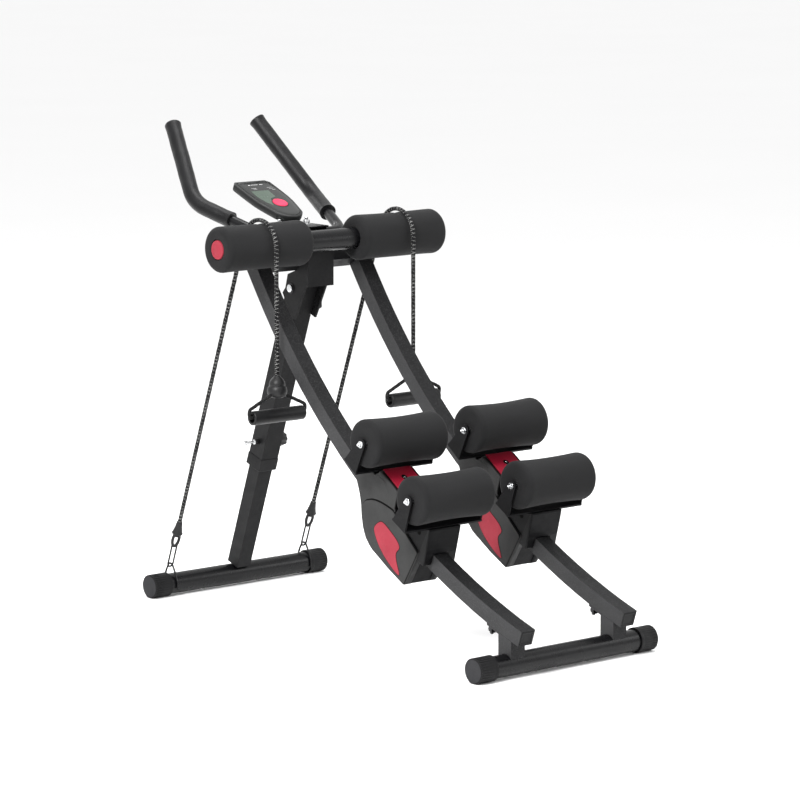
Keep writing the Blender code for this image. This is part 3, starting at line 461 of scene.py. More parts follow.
def slab(bm, outline_low, outline_high, bevel=0.0, segments=2):
    """A closed plate between two outlines with its upper rim rounded."""
    low = [bm.verts.new(p) for p in outline_low]
    high = [bm.verts.new(p) for p in outline_high]
    bm.faces.new(low[::-1])
    top = bm.faces.new(high)
    n = len(low)
    for i in range(n):
        j = (i + 1) % n
        bm.faces.new((low[i], low[j], high[j], high[i]))
    if bevel:
        bmesh.ops.bevel(bm, geom=list(top.edges), offset=bevel, segments=segments, affect="EDGES",
                        profile=0.6, clamp_overlap=True)


def rail_slab(bm, outline, x_low, x_high, bevel, segments):
    """A slab whose outline is in runs and rises, between two distances across the machine."""
    slab(bm, [at(x_low, on_rail(*p)) for p in outline], [at(x_high, on_rail(*p)) for p in outline],
         bevel, segments)


def hex_head(bm, base, direction, across, height, washer=0.0, thread=0.0):
    """Hex head with a chamfered crown. `washer` and `thread` are radii; at 0 there is none."""
    if washer:
        flat = [(0, washer * 0.6), (0, washer), (WASHER_THICK, washer), (WASHER_THICK, washer * 0.6)]
        loft(bm, turn_rings(flat, base, direction, 24))
        base = base + Vector(direction).normalized() * WASHER_THICK
    r = across / math.sqrt(3)

    def flats(reach, angle, radius):
        from_flat = (angle + math.pi / 6) % (math.pi / 3) - math.pi / 6
        return min(radius, r * math.cos(math.pi / 6) / math.cos(from_flat))
    profile = [(0, r * 0.98), (0.0004, r), (height * 0.75, r), (height, r * 0.84), (height, r * 0.3)]
    if thread:
        profile += [(height, thread), (height + thread * 1.3, thread), (height + thread * 1.6, thread * 0.7)]
    loft(bm, turn_rings(profile, base, direction, 48, flats))


def turned(name, profile, base, direction, segments, mat, body, replaces=()):
    """One piece that is a plain turned shape."""
    bm = bmesh.new()
    loft(bm, turn_rings(profile, base, direction, segments))
    piece(name, bm, mat, body, replaces)


# ---- camera, light and floor ----
CAMERA_PLACE, CAMERA_TURN = (-5.293, -6.3164, 1.792), (81.25, 0.0, -40.18)
LENS_MM, SENSOR_MM, CLIP_END = 162.42, 36, 400
FLOOR_HALF = 120
LAMP_AIM = Vector((0, 0, 0.5))
# Each lamp has its place, its power in watts and its width.
LAMPS = {"key": ((-3.4, -1.6, 3.6), 260, 1.3), "top": ((0.3, 0.4, 4.2), 90, 2.0),
         "right": ((3.4, -2.2, 1.8), 30, 1.4), "rear": ((0.5, 4.0, 2.6), 40, 2.0)}


def studio():
    """Camera at the photograph's angle, pale floor, white surroundings and four soft lamps."""
    camera = placed("camera", bpy.data.cameras.new("camera"))
    camera.location = CAMERA_PLACE
    camera.rotation_euler = [math.radians(turn) for turn in CAMERA_TURN]
    camera.data.lens = LENS_MM
    camera.data.sensor_width = SENSOR_MM
    camera.data.clip_end = CLIP_END
    bpy.context.scene.camera = camera
    bm = bmesh.new()
    bmesh.ops.create_grid(bm, x_segments=8, y_segments=8, size=FLOOR_HALF)
    mesh = bpy.data.meshes.new("floor")
    bm.to_mesh(mesh)
    bm.free()
    s = Shader("floor_paper", 0.9)
    s.join(s.mix(s.noise(0.8, 2.0), (0.93, 0.93, 0.93), (0.95, 0.95, 0.95)), s.bsdf.inputs["Base Color"])
    mesh.materials.append(s.mat)
    placed("floor", mesh)
    world = bpy.data.worlds.new("studio")
    world.use_nodes = True
    sky = world.node_tree.nodes["Background"].inputs
    sky["Color"].default_value = (1, 1, 1, 1)
    sky["Strength"].default_value = 1.0
    bpy.context.scene.world = world
    bpy.context.scene.view_settings.view_transform = "Standard"
    for name, (place, energy, size) in LAMPS.items():
        light = bpy.data.lights.new(name, "AREA")
        light.energy = energy
        light.size = size
        lamp = placed(name, light)
        lamp.location = place
        lamp.rotation_euler = (LAMP_AIM - Vector(place)).to_track_quat("-Z", "Y").to_euler()


# ---- ropes ----
ROPE_START, ROPE_BREAK = (1.1392, 0.1854), 0.45
ROPE_WIDTH, ROPE_SIDES, RING_STEP, RING_CM = 0.0105, 16, 0.004, 0.4


def rope_runs(x):
    """Three runs: pad top to the stopper, pad top to the break, break to the ferrule."""
    reach = Vector(ROPE_START) - Vector(PAD_AXIS)
    touch = math.degrees(math.atan2(reach.y, reach.x) + math.acos(ROPE_TURN_R / reach.length))
    front = [at(x, p) for p in arc(PAD_AXIS, ROPE_TURN_R, 90, 180, 16)] + [at(x, (FALL, STOPPER_TOP - 0.004))]
    rear = [at(x, p) for p in arc(PAD_AXIS, ROPE_TURN_R, 90, touch, 12)]
    foot = at(x, ROPE_START)
    middle = foot.lerp(rear[-1], ROPE_BREAK)
    return front[::-1], rear + [middle], [middle, foot]


def rope_piece(name, points, cad):
    path = resample(points, RING_STEP)

    def plait(i, angle):
        twist = i * RING_CM * 3.1
        ripple = max(math.sin(4 * angle + twist), math.sin(4 * angle - twist))
        return ROPE_R * (0.95 + 0.055 * ripple)
    bm = bmesh.new()
    layer = bm.loops.layers.uv.new("along")
    rings = loft(bm, tube_rings(path, plait, ROPE_SIDES))
    index = {v: (i, k) for i, ring in enumerate(rings) for k, v in enumerate(ring)}
    for face in bm.faces:
        ks = [index[v][1] for v in face.verts]
        wrap = len(face.verts) == 4 and max(ks) - min(ks) > 2
        for loop in face.loops:
            i, k = index[loop.vert]
            loop[layer].uv = ((k + ROPE_SIDES if wrap and k == 0 else k) / ROPE_SIDES, i * RING_CM)
    obj = piece(name, bm, "rope", None, (cad,), sharp=80)
    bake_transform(obj)


def ropes():
    for side, x in ROPE_X.items():
        front, upper, lower = rope_runs(x)
        cad = side + "_rope"
        rope_piece(side + "_rope_front", front, cad)
        rope_piece(side + "_rope_rear_upper", upper, cad)
        rope_piece(side + "_rope_rear_lower", lower, cad)


# ---- foam ----
def wander(point, scale, amount):
    return noise.noise(point * scale) * amount


def elbow_pads():
    """Foam sleeves with rounded ends and the groove that the rope presses, and their red plugs."""
    inner, outer = PAD_X
    soft, sides = 0.013, 72
    corner = [math.radians(a) for a in range(15, 91, 15)]
    stations = [(inner, PAD_BORE + 0.0004), (inner - 0.0008, PAD_BORE + 0.004),
                (inner - 0.0002, PAD_R - soft * 0.9)]
    stations += [(inner + soft - soft * math.cos(a), PAD_R - soft + soft * math.sin(a)) for a in corner]
    stations += [(inner + soft + (outer - inner - 2 * soft) * k / 70, PAD_R) for k in range(1, 71)]
    stations += [(outer - soft + soft * math.sin(a), PAD_R - soft + soft * math.cos(a)) for a in corner]
    stations += [(outer - 0.0002, PLUG_R + 0.010), (outer - 0.001, PLUG_R + 0.003),
                 (outer - 0.004, PLUG_R + 0.0008), (outer - 0.008, PLUG_R + 0.0004)]
    crown = [(0.302, 0.0195), (0.303, PLUG_R), (0.3238, PLUG_R), (0.3255, PLUG_R - 0.0008),
             (0.3262, PLUG_R - 0.003), (0.3258, PLUG_R - 0.006), (0.3252, PLUG_R - 0.0075),
             (0.3254, PLUG_R - 0.009), (0.3264, 0.008), (0.3266, 0.001)]
    base = at(0, PAD_AXIS)
    for name, side in SIDES.items():
        rope = abs(ROPE_X[name])

        def shape(reach, angle, radius):
            if radius < PAD_R - 0.004:
                return radius
            place = Vector((reach * 9, math.cos(angle), math.sin(angle)))
            near = math.exp(-((abs(reach) - rope) / GROOVE_WIDTH) ** 2)
            turn = math.degrees(angle) % 360
            away = min(abs(turn - 15), abs(turn - 185), 360 - turn)
            wrapped = 1.0 if 15 <= turn <= 185 else max(0.0, 1 - away / 18)
            waist = PAD_WAIST * math.sin(math.pi * (abs(reach) - inner) / (outer - inner))
            return radius - PAD_GROOVE * near * wrapped - waist + wander(place, 1.3, 0.0007)
        rings = []
        for distance, radius in stations:
            reach = side * distance
            ring = []
            for i in range(sides):
                angle = 2 * math.pi * i / sides
                r = shape(reach, angle, radius)
                ring.append(base + Vector((reach, r * math.cos(angle), r * math.sin(angle))))
            rings.append(ring)
        bm = bmesh.new()
        loft(bm, rings, closed=True)
        piece(name + "_elbow_foam", bm, "foam", "frame", (name + "_elbow_pad",))
        plug = [(side * x, r) for x, r in crown]
        turned(name + "_end_plug", plug, base, ACROSS, 48, "red", "frame", (name + "_pad_plug",))


def knee_rollers():
    soft, half = 0.012, ROLLER_HALF
    for name, side in SIDES.items():
        for label, run in ROLLER_RUNS.items():
            base = at(side * RAIL_X, on_rail(run, ROLLER_RISE))
            seed = Vector((side * 3.1, run * 40, 0))

            def shape(reach, angle, radius):
                if radius < ROLLER_R - 0.006:
                    return radius
                flare = (abs(reach) / half) ** 2
                place = Vector((reach * 8, math.cos(angle), math.sin(angle))) + seed
                return radius - ROLLER_WAIST * (1 - flare) + wander(place, 1.1, 0.0010)
            stations = [(-half + 0.0045, 0.0068), (-half + 0.003, 0.010), (-half + 0.0004, 0.016),
                        (-half - 0.0002, ROLLER_R - soft * 1.5)]
            stations += [(-half + soft - soft * math.cos(math.radians(a)),
                          ROLLER_R - soft + soft * math.sin(math.radians(a))) for a in range(0, 91, 15)]
            middle = [(-half + soft + 2 * (half - soft) * k / 40, ROLLER_R) for k in range(1, 40)]
            stations = stations + middle + [(-x, r) for x, r in reversed(stations)]
            bm = bmesh.new()
            loft(bm, turn_rings(stations, base, ACROSS, 64, shape), closed=True)
            piece(f"{name}_{label}_roller_foam", bm, "foam", f"{name}_{label}_roller",
                  (f"{name}_{label}_roller",))


def grips():
    for name, side in SIDES.items():
        tip, elbow, bend = (at(side * p[0], p[1:]) for p in (TIP, ELBOW, BEND))
        start = bend.lerp(elbow, 0.485)
        path = resample(bend_path([start, elbow, tip], BEND_REACH, 12), GRIP_STEP)
        count = len(path)

        def radius(i, angle):
            from_end = min(i, count - 1 - i) * GRIP_STEP
            lip = 0.0012 * math.exp(-(from_end / GRIP_STEP) ** 2)
            place = Vector((i * 0.25, math.cos(angle), math.sin(angle) + side))
            return GRIP_R - 0.0006 + wander(place, 1.4, 0.0005) + lip

        def shrink(ring, k, move):
            centre = sum(ring, Vector()) / len(ring)
            return [centre + (p - centre) * k + move for p in ring]
        out = (path[-1] - path[-2]).normalized()
        rings = tube_rings(path, radius, 40)
        rings = ([shrink(rings[0], 0.70, Vector()), shrink(rings[0], 0.90, Vector())] + rings
                 + [shrink(rings[-1], 0.955, out * 0.0016), shrink(rings[-1], 0.80, out * 0.0022),
                    shrink(rings[-1], 0.62, out * 0.0018), shrink(rings[-1], 0.58, -out * 0.0030)])
        bm = bmesh.new()
        loft(bm, rings)
        piece(name + "_grip_foam", bm, "grip", "frame", (name + "_grip",))
        plug = [(-0.002, 0.0098), (0.0016, 0.0104), (0.0022, 0.0094), (0.0018, 0.002)]
        turned(name + "_grip_plug", plug, tip, out, 32, "cap", "frame")


# ---- rope handles ----
def rope_handles():
    """Ribbed foam grip, the cord loop that holds it, and the moulded stopper above."""
    half = HANDLE_HALF
    wall = [(-half + 0.001, 0.0102), (-half, 0.0112), (-half + 0.0004, 0.0150), (-half + 0.0022, 0.0164)]
    ribs = [(-half + 0.006 + k * 0.002, 0.0164 + 0.00025 * (k % 2)) for k in range(70)]
    profile = wall + ribs + [(-a, r) for a, r in reversed(wall)]
    profile += [(half - 0.004, 0.0098), (-half + 0.004, 0.0098)]
    corners = ((half - 0.02, 0.002), (half + 0.006, 0.001), (half + 0.0075, 0.019), (0.013, 0.051),
               (0.005, 0.056))
    knot = [(0.0405, 0.006), (0.0415, 0.013), (0.045, 0.0195), (0.051, 0.0228), (0.058, 0.0235),
            (0.064, 0.0222), (0.068, 0.0200), (0.0695, 0.0185), (0.071, 0.0190), (0.076, 0.0186),
            (0.082, 0.0160), (0.087, 0.0115), (0.0905, 0.0080), (0.0925, 0.0068)]

    def twisted(i, angle):
        return LOOP_R * (0.95 + 0.07 * max(math.sin(3 * angle + i), math.sin(3 * angle - i)))
    for name, x in ROPE_X.items():
        centre = at(x, (FALL, HANDLE_Z))
        body = name + "_handle"
        bm = bmesh.new()
        loft(bm, turn_rings(profile, centre, ACROSS, 40), closed=True)
        piece(name + "_handle_grip", bm, "grip", body, (name + "_rope_handle",))
        bm = bmesh.new()
        for side in SIDES.values():
            loop = [centre + Vector((side * dx, 0, dz)) for dx, dz in corners]
            loft(bm, tube_rings(resample(bend_path(loop, 0.007, 6), 0.003), twisted, 14))
        piece(name + "_handle_loop", bm, "dark_loop", body, sharp=80)
        turned(name + "_handle_stopper", knot, centre, UP, 40, "knob", body)


# ---- feet, rails and leg ----
def end_caps():
    """Ribbed caps on the foot tubes, flat where they stand on the floor."""
    ribs, sides, plain = 30, 180, 0.16
    outer, mouth = FOOT_HALF, FOOT_HALF - CAP_LENGTH
    body_r, bore = CAP_R - 0.0002, 0.0254
    profile = [(mouth + 0.0005, bore), (mouth, 0.0262), (mouth, CAP_R - 0.0006), (mouth + 0.0006, CAP_R),
               (mouth + 0.0078, CAP_R), (mouth + 0.0084, body_r)]
    profile += [(mouth + 0.009 + k * 0.0034, body_r) for k in range(12)]
    profile += [(outer - 0.0012, CAP_R - 0.0006), (outer - 0.0003, CAP_R - 0.0018), (outer, CAP_R - 0.0030)]
    face = [(outer, CAP_R - 0.0030), (outer - 0.0004, CAP_R - 0.0036), (outer - 0.0004, 0.0005)]
    inside = [(mouth + 0.0005, bore), (outer - 0.005, bore), (outer - 0.005, 0.001)]

    def grooved(reach, angle, radius):
        along = (abs(reach) - mouth) / CAP_LENGTH
        if radius < CAP_R - 0.0004 or along < plain or along > 0.97:
            return radius
        groove = 0.5 - 0.5 * math.cos(angle * ribs)
        depth = 0.0016 * min(1.0, (along - plain) / 0.55)
        return radius - depth * groove ** 2

    def cap_rings(stations, side, base, shape=None):
        return turn_rings([(side * x, r) for x, r in stations], base, ACROSS, sides, shape)
    for end, distance, body in (("front", 0.0, "frame"), ("rear", LEG_FOOT[0], "post")):
        base = at(0, (distance, FOOT_AXIS_Z))
        for name, side in SIDES.items():
            bm = bmesh.new()
            rings = cap_rings(profile, side, base, grooved)
            for ring in rings:
                for p in ring:
                    p.z = max(p.z, 0.0)
            loft(bm, rings, close_ends=False)
            loft(bm, cap_rings(face, side, base), material=1)
            loft(bm, cap_rings(inside, side, base), close_ends=False)
            piece(f"{end}_{name}_ribbed_cap", bm, ["cap", "cap_face"], body,
                  (f"{end}_{name}_cap",), sharp=30)


def square(half, depth):
    return [(-half, -depth), (half, -depth), (half, depth), (-half, depth)]


def rail_ends():
    """Moulded plug in each rail's open front end, and the saddle bolt under it."""
    low = math.asin((RAIL_LOW_END - RAIL_CENTRE[0]) / RAIL_R)
    back = Vector((0, -math.cos(low), -math.sin(low)))
    up = Vector((0, -math.sin(low), math.cos(low)))
    top_z = RAIL_CENTRE[1] - RAIL_R * math.cos(low)
    slope = math.asin((SADDLE_BOLT_Y - RAIL_CENTRE[0]) / RAIL_R)
    under = RAIL_R + RAIL_HEIGHT + 0.0050
    bolt_z = RAIL_CENTRE[1] - math.sqrt(under ** 2 - (SADDLE_BOLT_Y - RAIL_CENTRE[0]) ** 2)
    steps = ((0.0176, 0.0156, -0.012), (0.0176, 0.0156, -0.0004), (0.0168, 0.0148, 0.0006),
             (0.0140, 0.0120, 0.0006), (0.0130, 0.0110, -0.0004))
    for name, side in SIDES.items():
        x = side * RAIL_X
        middle = at(x, (RAIL_LOW_END, top_z)) - up * RAIL_HEIGHT / 2
        bm = bmesh.new()
        loft(bm, [[middle + back * out + Vector((across, 0, 0)) + up * rise
                   for across, rise in square(half, depth)] for half, depth, out in steps])
        piece(name + "_rail_plug", bm, "cap", "frame")
        bm = bmesh.new()
        hex_head(bm, at(x, (SADDLE_BOLT_Y, bolt_z)), (0, math.sin(slope), -math.cos(slope)), 0.0185,
                 0.0150, 0.0135, thread=0.0045)
        piece(name + "_saddle_bolt", bm, "dark_zinc", "frame")


def star_knob(name, place, profile, lobes, node):
    """Lobed knob along X with the end of its stud showing; its body has the node's name."""
    base = at(0, place)

    def lobed(reach, angle, radius):
        if radius <= 0.0125:
            return radius
        return radius * (1 - 0.13 * (0.5 - 0.5 * math.cos(lobes * angle)) ** 0.8)
    bm = bmesh.new()
    loft(bm, turn_rings(profile, base, ACROSS, 90, lobed))
    piece(name, bm, "knob", node, (node,))
    end = profile[-1][0]
    stud = [(end - 0.001, 0.0052), (end + 0.0004, 0.0050), (end + 0.0009, 0.0040), (end + 0.0009, 0.001)]
    turned(name + "_stud", stud, base, ACROSS, 24, "zinc", node)


def knobs():
    star_knob("fold_star_knob", on_leg(FOLD_KNOB_RUN),
              [(0.0384, 0.004), (0.0385, 0.0075), (0.0410, 0.0080), (0.0425, 0.0150), (0.0440, 0.0186),
               (0.0500, 0.0190), (0.0570, 0.0190), (0.0605, 0.0180), (0.0618, 0.0150), (0.0620, 0.002)],
              6, "fold_knob")
    star_knob("height_star_knob", on_leg(HEIGHT_KNOB_RUN),
              [(0.0254, 0.004), (0.0255, 0.0090), (0.0285, 0.0092), (0.0305, 0.0150), (0.0325, 0.0180),
               (0.0400, 0.0187), (0.0480, 0.0180), (0.0515, 0.0160), (0.0530, 0.0120), (0.0532, 0.002)],
              8, "height_knob")


def leg_details():
    """Boot on the spring pin, washers on the pivot bolt, collar on the sleeve's mouth."""
    face = -0.0256
    boot = [(face, 0.0062), (face - 0.001, 0.0066), (face - 0.012, 0.0066), (face - 0.0135, 0.0058),
            (face - 0.0135, 0.0034)]
    place = at(0, on_leg(HEIGHT_KNOB_RUN))
    turned("height_pin_boot", boot, place, ACROSS, 32, "knob", "height_pin")
    bm = bmesh.new()
    for side in SIDES.values():
        x = side * 0.0338
        ring = [(x, 0.0052), (x, 0.0125), (x + side * 0.0010, 0.0125), (x + side * 0.0011, 0.0096)]
        loft(bm, turn_rings(ring, at(0, LEG_PIVOT), ACROSS, 32))
    piece("pivot_washers", bm, "dark_zinc", "frame")
    start, end = COLLAR_RUNS
    half, bore = 0.0262, 0.0208
    rear = Vector((0, -LEG_DOWN[1], LEG_DOWN[0]))
    bm = bmesh.new()
    loft(bm, [[at(across, on_leg(run)) + rear * deep for across, deep in square(size, size)]
              for run, size in ((start, 0.0253), (start, half - 0.0004), (start + 0.002, half),
                                (end - 0.001, half), (end, half - 0.0010), (end, bore))],
         close_ends=False)
    piece("sleeve_collar", bm, "cap", "leg")


def handlebar_details():
    strap, bolt_y = 0.0043, 0.950
    top = BEND[2] + BAR_R + strap
    bm = bmesh.new()
    for x in (-0.042, 0.040):
        hex_head(bm, at(x, (bolt_y, top)), UP, 0.0145, 0.009, 0.0105, thread=0.0042)
    piece("handlebar_bolts", bm, "zinc", "frame")


# ---- monitor ----
def screen_outline(inset):
    bottom = arc((0, -0.027), 0.043 - inset, 200, 340, 16)
    right = [(0.0525 - inset, 0.010), (0.0555 - inset, 0.050)]
    right += arc((0.0355, 0.102), 0.020 - inset, 10, 80, 6)
    left = [(-x, run) for x, run in reversed(right)]
    return [Vector((p.x - 0.004, p.y)) for p in closed_curve(bottom + right + left, 2)]


def monitor():
    def ring(inset, rise):
        return [at(p.x, on_screen(p.y, rise)) for p in screen_outline(inset)]
    bm = bmesh.new()
    loft(bm, [ring(0.009, -0.0198), ring(0.0035, -0.0188), ring(0.0008, -0.0160), ring(0.0, -0.0120),
              ring(0.0, -0.0050), ring(0.0010, -0.0022), ring(0.0030, -0.0008), ring(0.0068, -0.0005),
              ring(0.0074, -0.0016)])
    foot = [on_screen(-0.048, -0.018), on_screen(-0.014, -0.018), (0.9685, 0.9024), (0.9455, 0.9024)]
    loft(bm, [[at(-0.0135, p) for p in foot], [at(0.0135, p) for p in foot]])
    piece("monitor_shell", bm, "shell", "frame", ("monitor_housing",))
    bm = bmesh.new()
    loft(bm, [ring(0.0076, -0.0015), ring(0.0080, -0.0004), ring(0.0096, 0.0), ring(0.020, 0.0003)])
    piece("monitor_window", bm, "lens", "frame", ("monitor_lens",))


def monitor_display():
    """A grey-green display patch, shaped and coloured as the painted greenish reflection on its glass, and
    plain pale bars near the top of the window.
    """
    def on_glass(outline, rise):
        return [at(x, on_screen(run, rise)) for x, run in outline]
    # Painted reflection: the patch follows the greenish reflection on the display glass.
    display = [(-0.040, 0.066), (-0.042, 0.036), (-0.036, 0.008), (-0.026, -0.012), (-0.0225, 0.002),
               (-0.010, 0.024), (0.010, 0.032), (0.012, 0.066)]
    bm = bmesh.new()
    slab(bm, on_glass(display, 0.0001), on_glass(display, 0.0007), 0.0002, 1)
    piece("monitor_display_reflection", bm, "lcd", "frame")
    bm = bmesh.new()
    # Pale raised bars near the top of the window.
    for x, run, width, height in (
            (-0.024, 0.096, 0.006, 0.0022), (-0.008, 0.0965, 0.020, 0.0014), (0.012, 0.0965, 0.010, 0.0014),
            (-0.022, 0.079, 0.014, 0.0009), (0.026, 0.080, 0.013, 0.0009), (-0.020, 0.075, 0.011, 0.0008),
            (0.027, 0.074, 0.012, 0.0008), (0.0305, 0.068, 0.010, 0.0008)):
        bar = [(x + across, run + along) for across, along in square(width / 2, height / 2)]
        slab(bm, on_glass(bar, 0.0001), on_glass(bar, 0.0006))
    piece("monitor_marks", bm, "mark", "frame")


def monitor_push_button():
    normal = Vector((0, -math.sin(SCREEN_TILT), math.cos(SCREEN_TILT)))
    base = at(0, SCREEN_BUTTON)
    button = [(-0.007, 0.0180), (-0.0065, 0.0186), (0.0010, 0.0186), (0.0022, 0.0178), (0.0028, 0.0155),
              (0.0030, 0.010), (0.0030, 0.001)]
    bezel = [(0.0, 0.0192), (0.0, 0.0218), (0.0009, 0.0212), (0.0010, 0.0200), (0.0004, 0.0192)]
    turned("monitor_push_button", button, base, normal, 64, "button", "monitor_button",
           ("monitor_button",))
    bm = bmesh.new()
    loft(bm, turn_rings(bezel, base, normal, 64), closed=True)
    piece("monitor_button_ring", bm, "shell", "frame")


# ---- carriages ----
# Outlines in runs and rises, measured on the photographed covers and rounded.
COVER = ((-0.022, -0.101), (0.040, -0.101), (0.105, -0.101), (0.130, -0.094), (0.150, -0.080),
         (0.168, -0.062), (0.184, -0.042), (0.200, -0.027), (0.222, -0.012), (0.240, -0.002),
         (0.244, 0.043), (0.183, 0.044), (0.181, 0.066), (0.104, 0.066), (0.090, 0.024), (0.040, 0.010),
         (-0.026, -0.004))
LOWER_PANEL = ((-0.020, -0.0985), (0.040, -0.0985), (0.104, -0.0985), (0.128, -0.092), (0.147, -0.078),
               (0.165, -0.060), (0.180, -0.042), (0.176, -0.024), (0.162, -0.008), (0.147, 0.002),
               (0.132, 0.009), (0.112, 0.016), (0.091, 0.0215), (0.040, 0.0075), (-0.0235, -0.0065))
LEAF = ((0.111, -0.028), (0.119, -0.050), (0.109, -0.063), (0.079, -0.078), (0.042, -0.087), (0.0, -0.089),
        (0.022, -0.067), (0.032, -0.052), (0.030, -0.034), (0.047, -0.025), (0.077, -0.022), (0.098, -0.022))


def grown(points, amount):
    """The outline moved outwards by `amount`, along the average of its neighbours' normals."""
    n, out = len(points), []
    area = sum(a[0] * b[1] - b[0] * a[1] for a, b in zip(points, [*points[1:], points[0]]))
    sign = 1 if area > 0 else -1
    for i in range(n):
        d = Vector(points[(i + 1) % n]) - Vector(points[i - 1])
        out.append(Vector(points[i]) + Vector((d.y, -d.x)).normalized() * amount * sign)
    return out


def cover_shell(name, x, face, body, node):
    """One hollow cover: its skin looks along `face`, and its rim turns in towards the rail."""
    outline = fillet(COVER, 0.006)
    bm = bmesh.new()
    rim_verts = [bm.verts.new(at(x + face * COVER_RIM, on_rail(*p))) for p in outline]
    skin_verts = [bm.verts.new(at(x + face * COVER_SKIN, on_rail(*p))) for p in outline]
    top = bm.faces.new(skin_verts)
    n = len(outline)
    for i in range(n):
        j = (i + 1) % n
        bm.faces.new((rim_verts[i], rim_verts[j], skin_verts[j], skin_verts[i])).material_index = 1
    bmesh.ops.bevel(bm, geom=list(top.edges), offset=0.0030, segments=4, affect="EDGES", profile=0.5)
    shell = piece(name + "_shell", bm, ["cover", "nose"], body, (node,), sharp=40)
    wall = shell.modifiers.new("wall", "SOLIDIFY")
    wall.thickness = 0.0022
    wall.offset = -1


def covers():
    """Side covers, each with a lower panel, a dark sheet of painted shade round it at the seam, and the red
    leaf with a dark edge of painted shade.
    """
    # The painted shade of the seam is wider along the panel's upper edge.
    seam = [(run, rise + (0.0030 if rise > -0.03 else 0.0)) for run, rise in LOWER_PANEL]
    leaf = closed_curve(LEAF, 5)
    layers = (("seam", "seam", "cover", grown(fillet(seam, 0.005), 0.0010), -0.0012, 0.0003, 0.0002, 1),
              ("lower_panel", "cover", "cover", fillet(LOWER_PANEL, 0.005), -0.0010, 0.0016, 0.0012, 3),
              ("leaf_edge_shade", "seam", "cover", grown(leaf, 0.0012), 0.0010, 0.00175, 0.0, 2),
              ("leaf", "red", "red", leaf, 0.0010, 0.0022, 0.0004, 2))
    for side_name, side in SIDES.items():
        body = side_name + "_carriage"
        for label, face in (("outer", side), ("inner", -side)):
            name = f"{side_name}_{label}"
            x = side * RAIL_X
            cover_shell(name, x, face, body, name + "_cover")
            skin = x + face * COVER_SKIN
            for part, mat, slot, outline, low, high, bevel, segments in layers:
                bm = bmesh.new()
                rail_slab(bm, outline, skin + face * low, skin + face * high, bevel, segments)
                piece(f"{name}_{part}", bm, mat, body)


def top_plates():
    """The red plate between the rollers, with a dark disc of painted shade for its socket, and its screw."""
    (near, far), (under, top) = PLATE_RUNS, PLATE_RISES
    corners = ((-PLATE_HALF, near), (PLATE_HALF, near), (PLATE_HALF, far), (-PLATE_HALF, far))
    for name, side in SIDES.items():
        x, body = side * RAIL_X, name + "_carriage"
        low = [at(x + across, on_rail(run, under)) for across, run in corners]
        high = [at(x + across, on_rail(run, top)) for across, run in corners]
        bm = bmesh.new()
        slab(bm, low, high, 0.0010, 3)
        piece(name + "_red_plate", bm, "plate_red", body, (name + "_top_plate",))
        middle = at(x, on_rail(PLATE_SCREW_RUN, top))
        up = at(x, on_rail(PLATE_SCREW_RUN, top + 0.01)) - middle
        # Painted shade: a dark disc stands in for the shade inside the socket.
        socket = [(-0.0002, 0.0078), (0.0005, 0.0076), (0.0005, 0.001)]
        turned(name + "_plate_socket_shade", socket, middle, up, 40, "seam", body)
        bm = bmesh.new()
        hex_head(bm, middle + up.normalized() * 0.0004, up, 0.0055, 0.0014)
        piece(name + "_plate_screw", bm, "zinc", body)


def chassis_details():
    """Roller axles with their nuts, and dark discs of painted shade where the gussets have round holes."""
    for name, side in SIDES.items():
        x, body = side * RAIL_X, name + "_carriage"
        for label, run in ROLLER_RUNS.items():
            centre = on_rail(run, ROLLER_RISE)
            bm = bmesh.new()
            for face in SIDES.values():
                outer = x + face * (EAR_FACE + 0.0003)
                hex_head(bm, at(outer, centre), (face, 0, 0), 0.0105, 0.0040, 0.0078, thread=0.0028)
            piece(f"{name}_{label}_axle_nuts", bm, "zinc", body, (f"{name}_{label}_axle",))
            end = EAR_FACE + 0.0002
            turned(f"{name}_{label}_axle_rod", [(-end, 0.0059), (end, 0.0059)], at(x, centre), ACROSS, 24,
                   "zinc", body)
        for label, face in (("outer", side), ("inner", -side)):
            place = at(x + face * 0.0456, on_rail(*GUSSET_HOLE))
            # Painted shade: a dark disc on the gusset stands in for the hole's shade.
            hole = [(0, 0.0056), (face * 0.0004, 0.0054), (face * 0.0004, 0.001)]
            turned(f"{name}_{label}_gusset_hole_shade", hole, place, ACROSS, 32, "seam", body)


def nose_shells():
    """Rounded moulding over the chassis nose, open below for the rail; its front face leans."""
    half, inner, foot, slot, top = 0.0462, 0.0242, -0.0225, 0.0052, 0.0612
    back, front, lean = -0.0262, -0.0525, 0.0215 / 0.0835
    arch = [(-half, foot), (-half, top), (half, top), (half, foot), (inner, foot), (inner, slot),
            (-inner, slot), (-inner, foot)]
    for name, side in SIDES.items():
        x = side * RAIL_X
        bm = bmesh.new()
        slab(bm, [at(x + across, on_rail(back, rise)) for across, rise in arch],
             [at(x + across, on_rail(front + (rise - foot) * lean, rise)) for across, rise in arch],
             0.0035, 4)
        piece(name + "_nose_shell", bm, "nose", name + "_carriage", sharp=50)


def straight_tube(name, place, half, body, cad):
    profile = [(-half, TUBE_R - 0.0020), (-half, TUBE_R - 0.0006), (-half + 0.0004, TUBE_R),
               (half - 0.0004, TUBE_R), (half, TUBE_R - 0.0006), (half, TUBE_R - 0.0020)]
    bm = bmesh.new()
    loft(bm, turn_rings(profile, at(0, place), ACROSS, 96), closed=True)
    piece(name, bm, "black", body, (cad,))


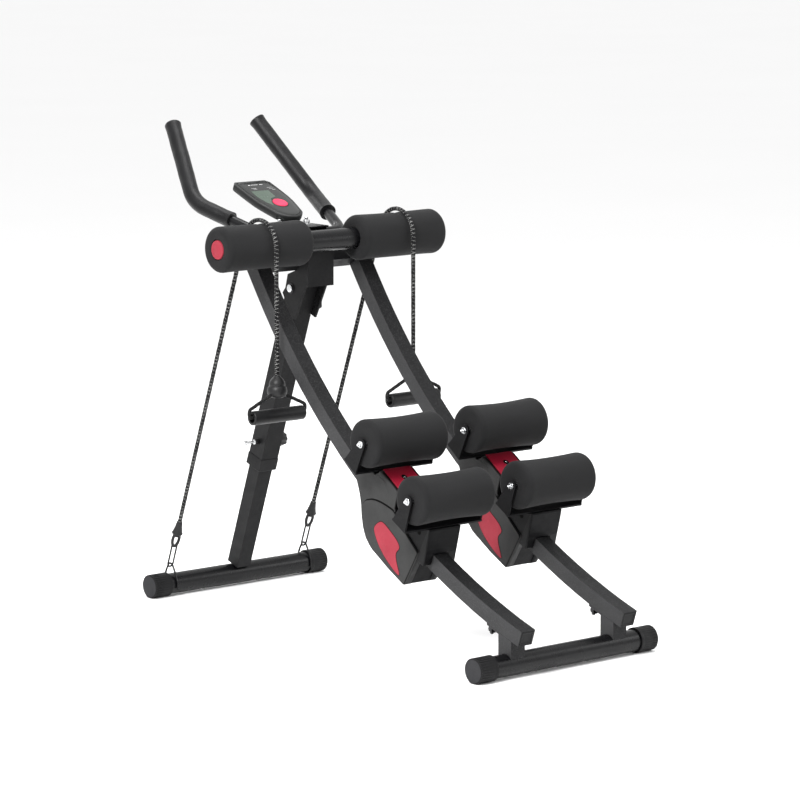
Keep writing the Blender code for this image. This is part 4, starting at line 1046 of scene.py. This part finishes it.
def tubes():
    """Round tubes redrawn with enough facets to show no flats."""
    straight_tube("front_stand_tube", (0.0, FOOT_AXIS_Z), FOOT_TUBE_HALF, "frame", "front_foot_tube")
    straight_tube("rear_stand_tube", (LEG_FOOT[0], FOOT_AXIS_Z), FOOT_TUBE_HALF, "post", "rear_foot_tube")
    straight_tube("pad_cross_tube", PAD_AXIS, PAD_TUBE_HALF, "frame", "pad_tube")
    left = [at(-p[0], p[1:]) for p in (TIP, ELBOW, BEND)]
    right = [at(p[0], p[1:]) for p in (BEND, ELBOW, TIP)]
    left[0] += (left[1] - left[0]).normalized() * 0.006
    right[-1] += (right[-2] - right[-1]).normalized() * 0.006
    path = resample(bend_path(left + right, BEND_REACH, 14), 0.005)
    bm = bmesh.new()
    loft(bm, tube_rings(path, BAR_R, 40))
    piece("handlebar_bent_tube", bm, "black", "frame", ("handlebar_tube",))


def hook_details():
    """Moulded cone on the rope's end and the thick eye under it."""
    for name, x in ROPE_X.items():
        foot = at(x, (LEG_FOOT[0], HOOK_Z))
        lean = at(x, ROPE_START) - foot
        reach = lean.length
        lean.normalize()
        cone = [(reach - 0.0330, 0.0070), (reach - 0.0328, 0.0125), (reach - 0.0300, 0.0134),
                (reach - 0.0265, 0.0118), (reach - 0.0140, 0.0088), (reach - 0.0010, 0.0068),
                (reach, 0.0056)]
        bm = bmesh.new()
        loft(bm, turn_rings(cone, foot, lean, 32))
        centre = foot + lean * (reach - 0.048)
        angles = [2 * math.pi * k / 48 for k in range(48)]
        eye = [centre + lean * 0.0185 * math.cos(a) + Vector((0.0096 * math.sin(a), 0, 0)) for a in angles]
        loft(bm, tube_rings(eye + [eye[0]], 0.0038, 14)[:-1], closed=True)
        piece(name + "_rope_eye", bm, "knob", "post")


def recolour():
    """Materials for the CAD nodes that are shown as they are."""
    looks = {"crossbeam": "leg", "hinge_bracket": "leg", "handlebar_bracket": "black",
             "upright_sleeve": "leg", "lower_post": "leg", "pivot_bolt": "zinc", "height_pin": "zinc"}
    per_side = {"rail": "rail", "rail_foot": "rail", "carriage_frame": "chassis", "d_ring": "black",
                "rope_hook": "black", "front_wheel": "nylon", "rear_wheel": "nylon", "under_wheel": "nylon"}
    for side in SIDES:
        looks.update({f"{side}_{node}": mat for node, mat in per_side.items()})
    for node, mat in looks.items():
        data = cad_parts[node].data
        data.shade_smooth()
        data.set_sharp_from_angle(angle=math.radians(32))
        data.materials.clear()
        data.materials.append(MAT[mat])


studio()
ropes()
recolour()
tubes()
elbow_pads()
knee_rollers()
grips()
rope_handles()
end_caps()
rail_ends()
knobs()
leg_details()
handlebar_details()
monitor()
monitor_display()
monitor_push_button()
covers()
top_plates()
chassis_details()
nose_shells()
hook_details()
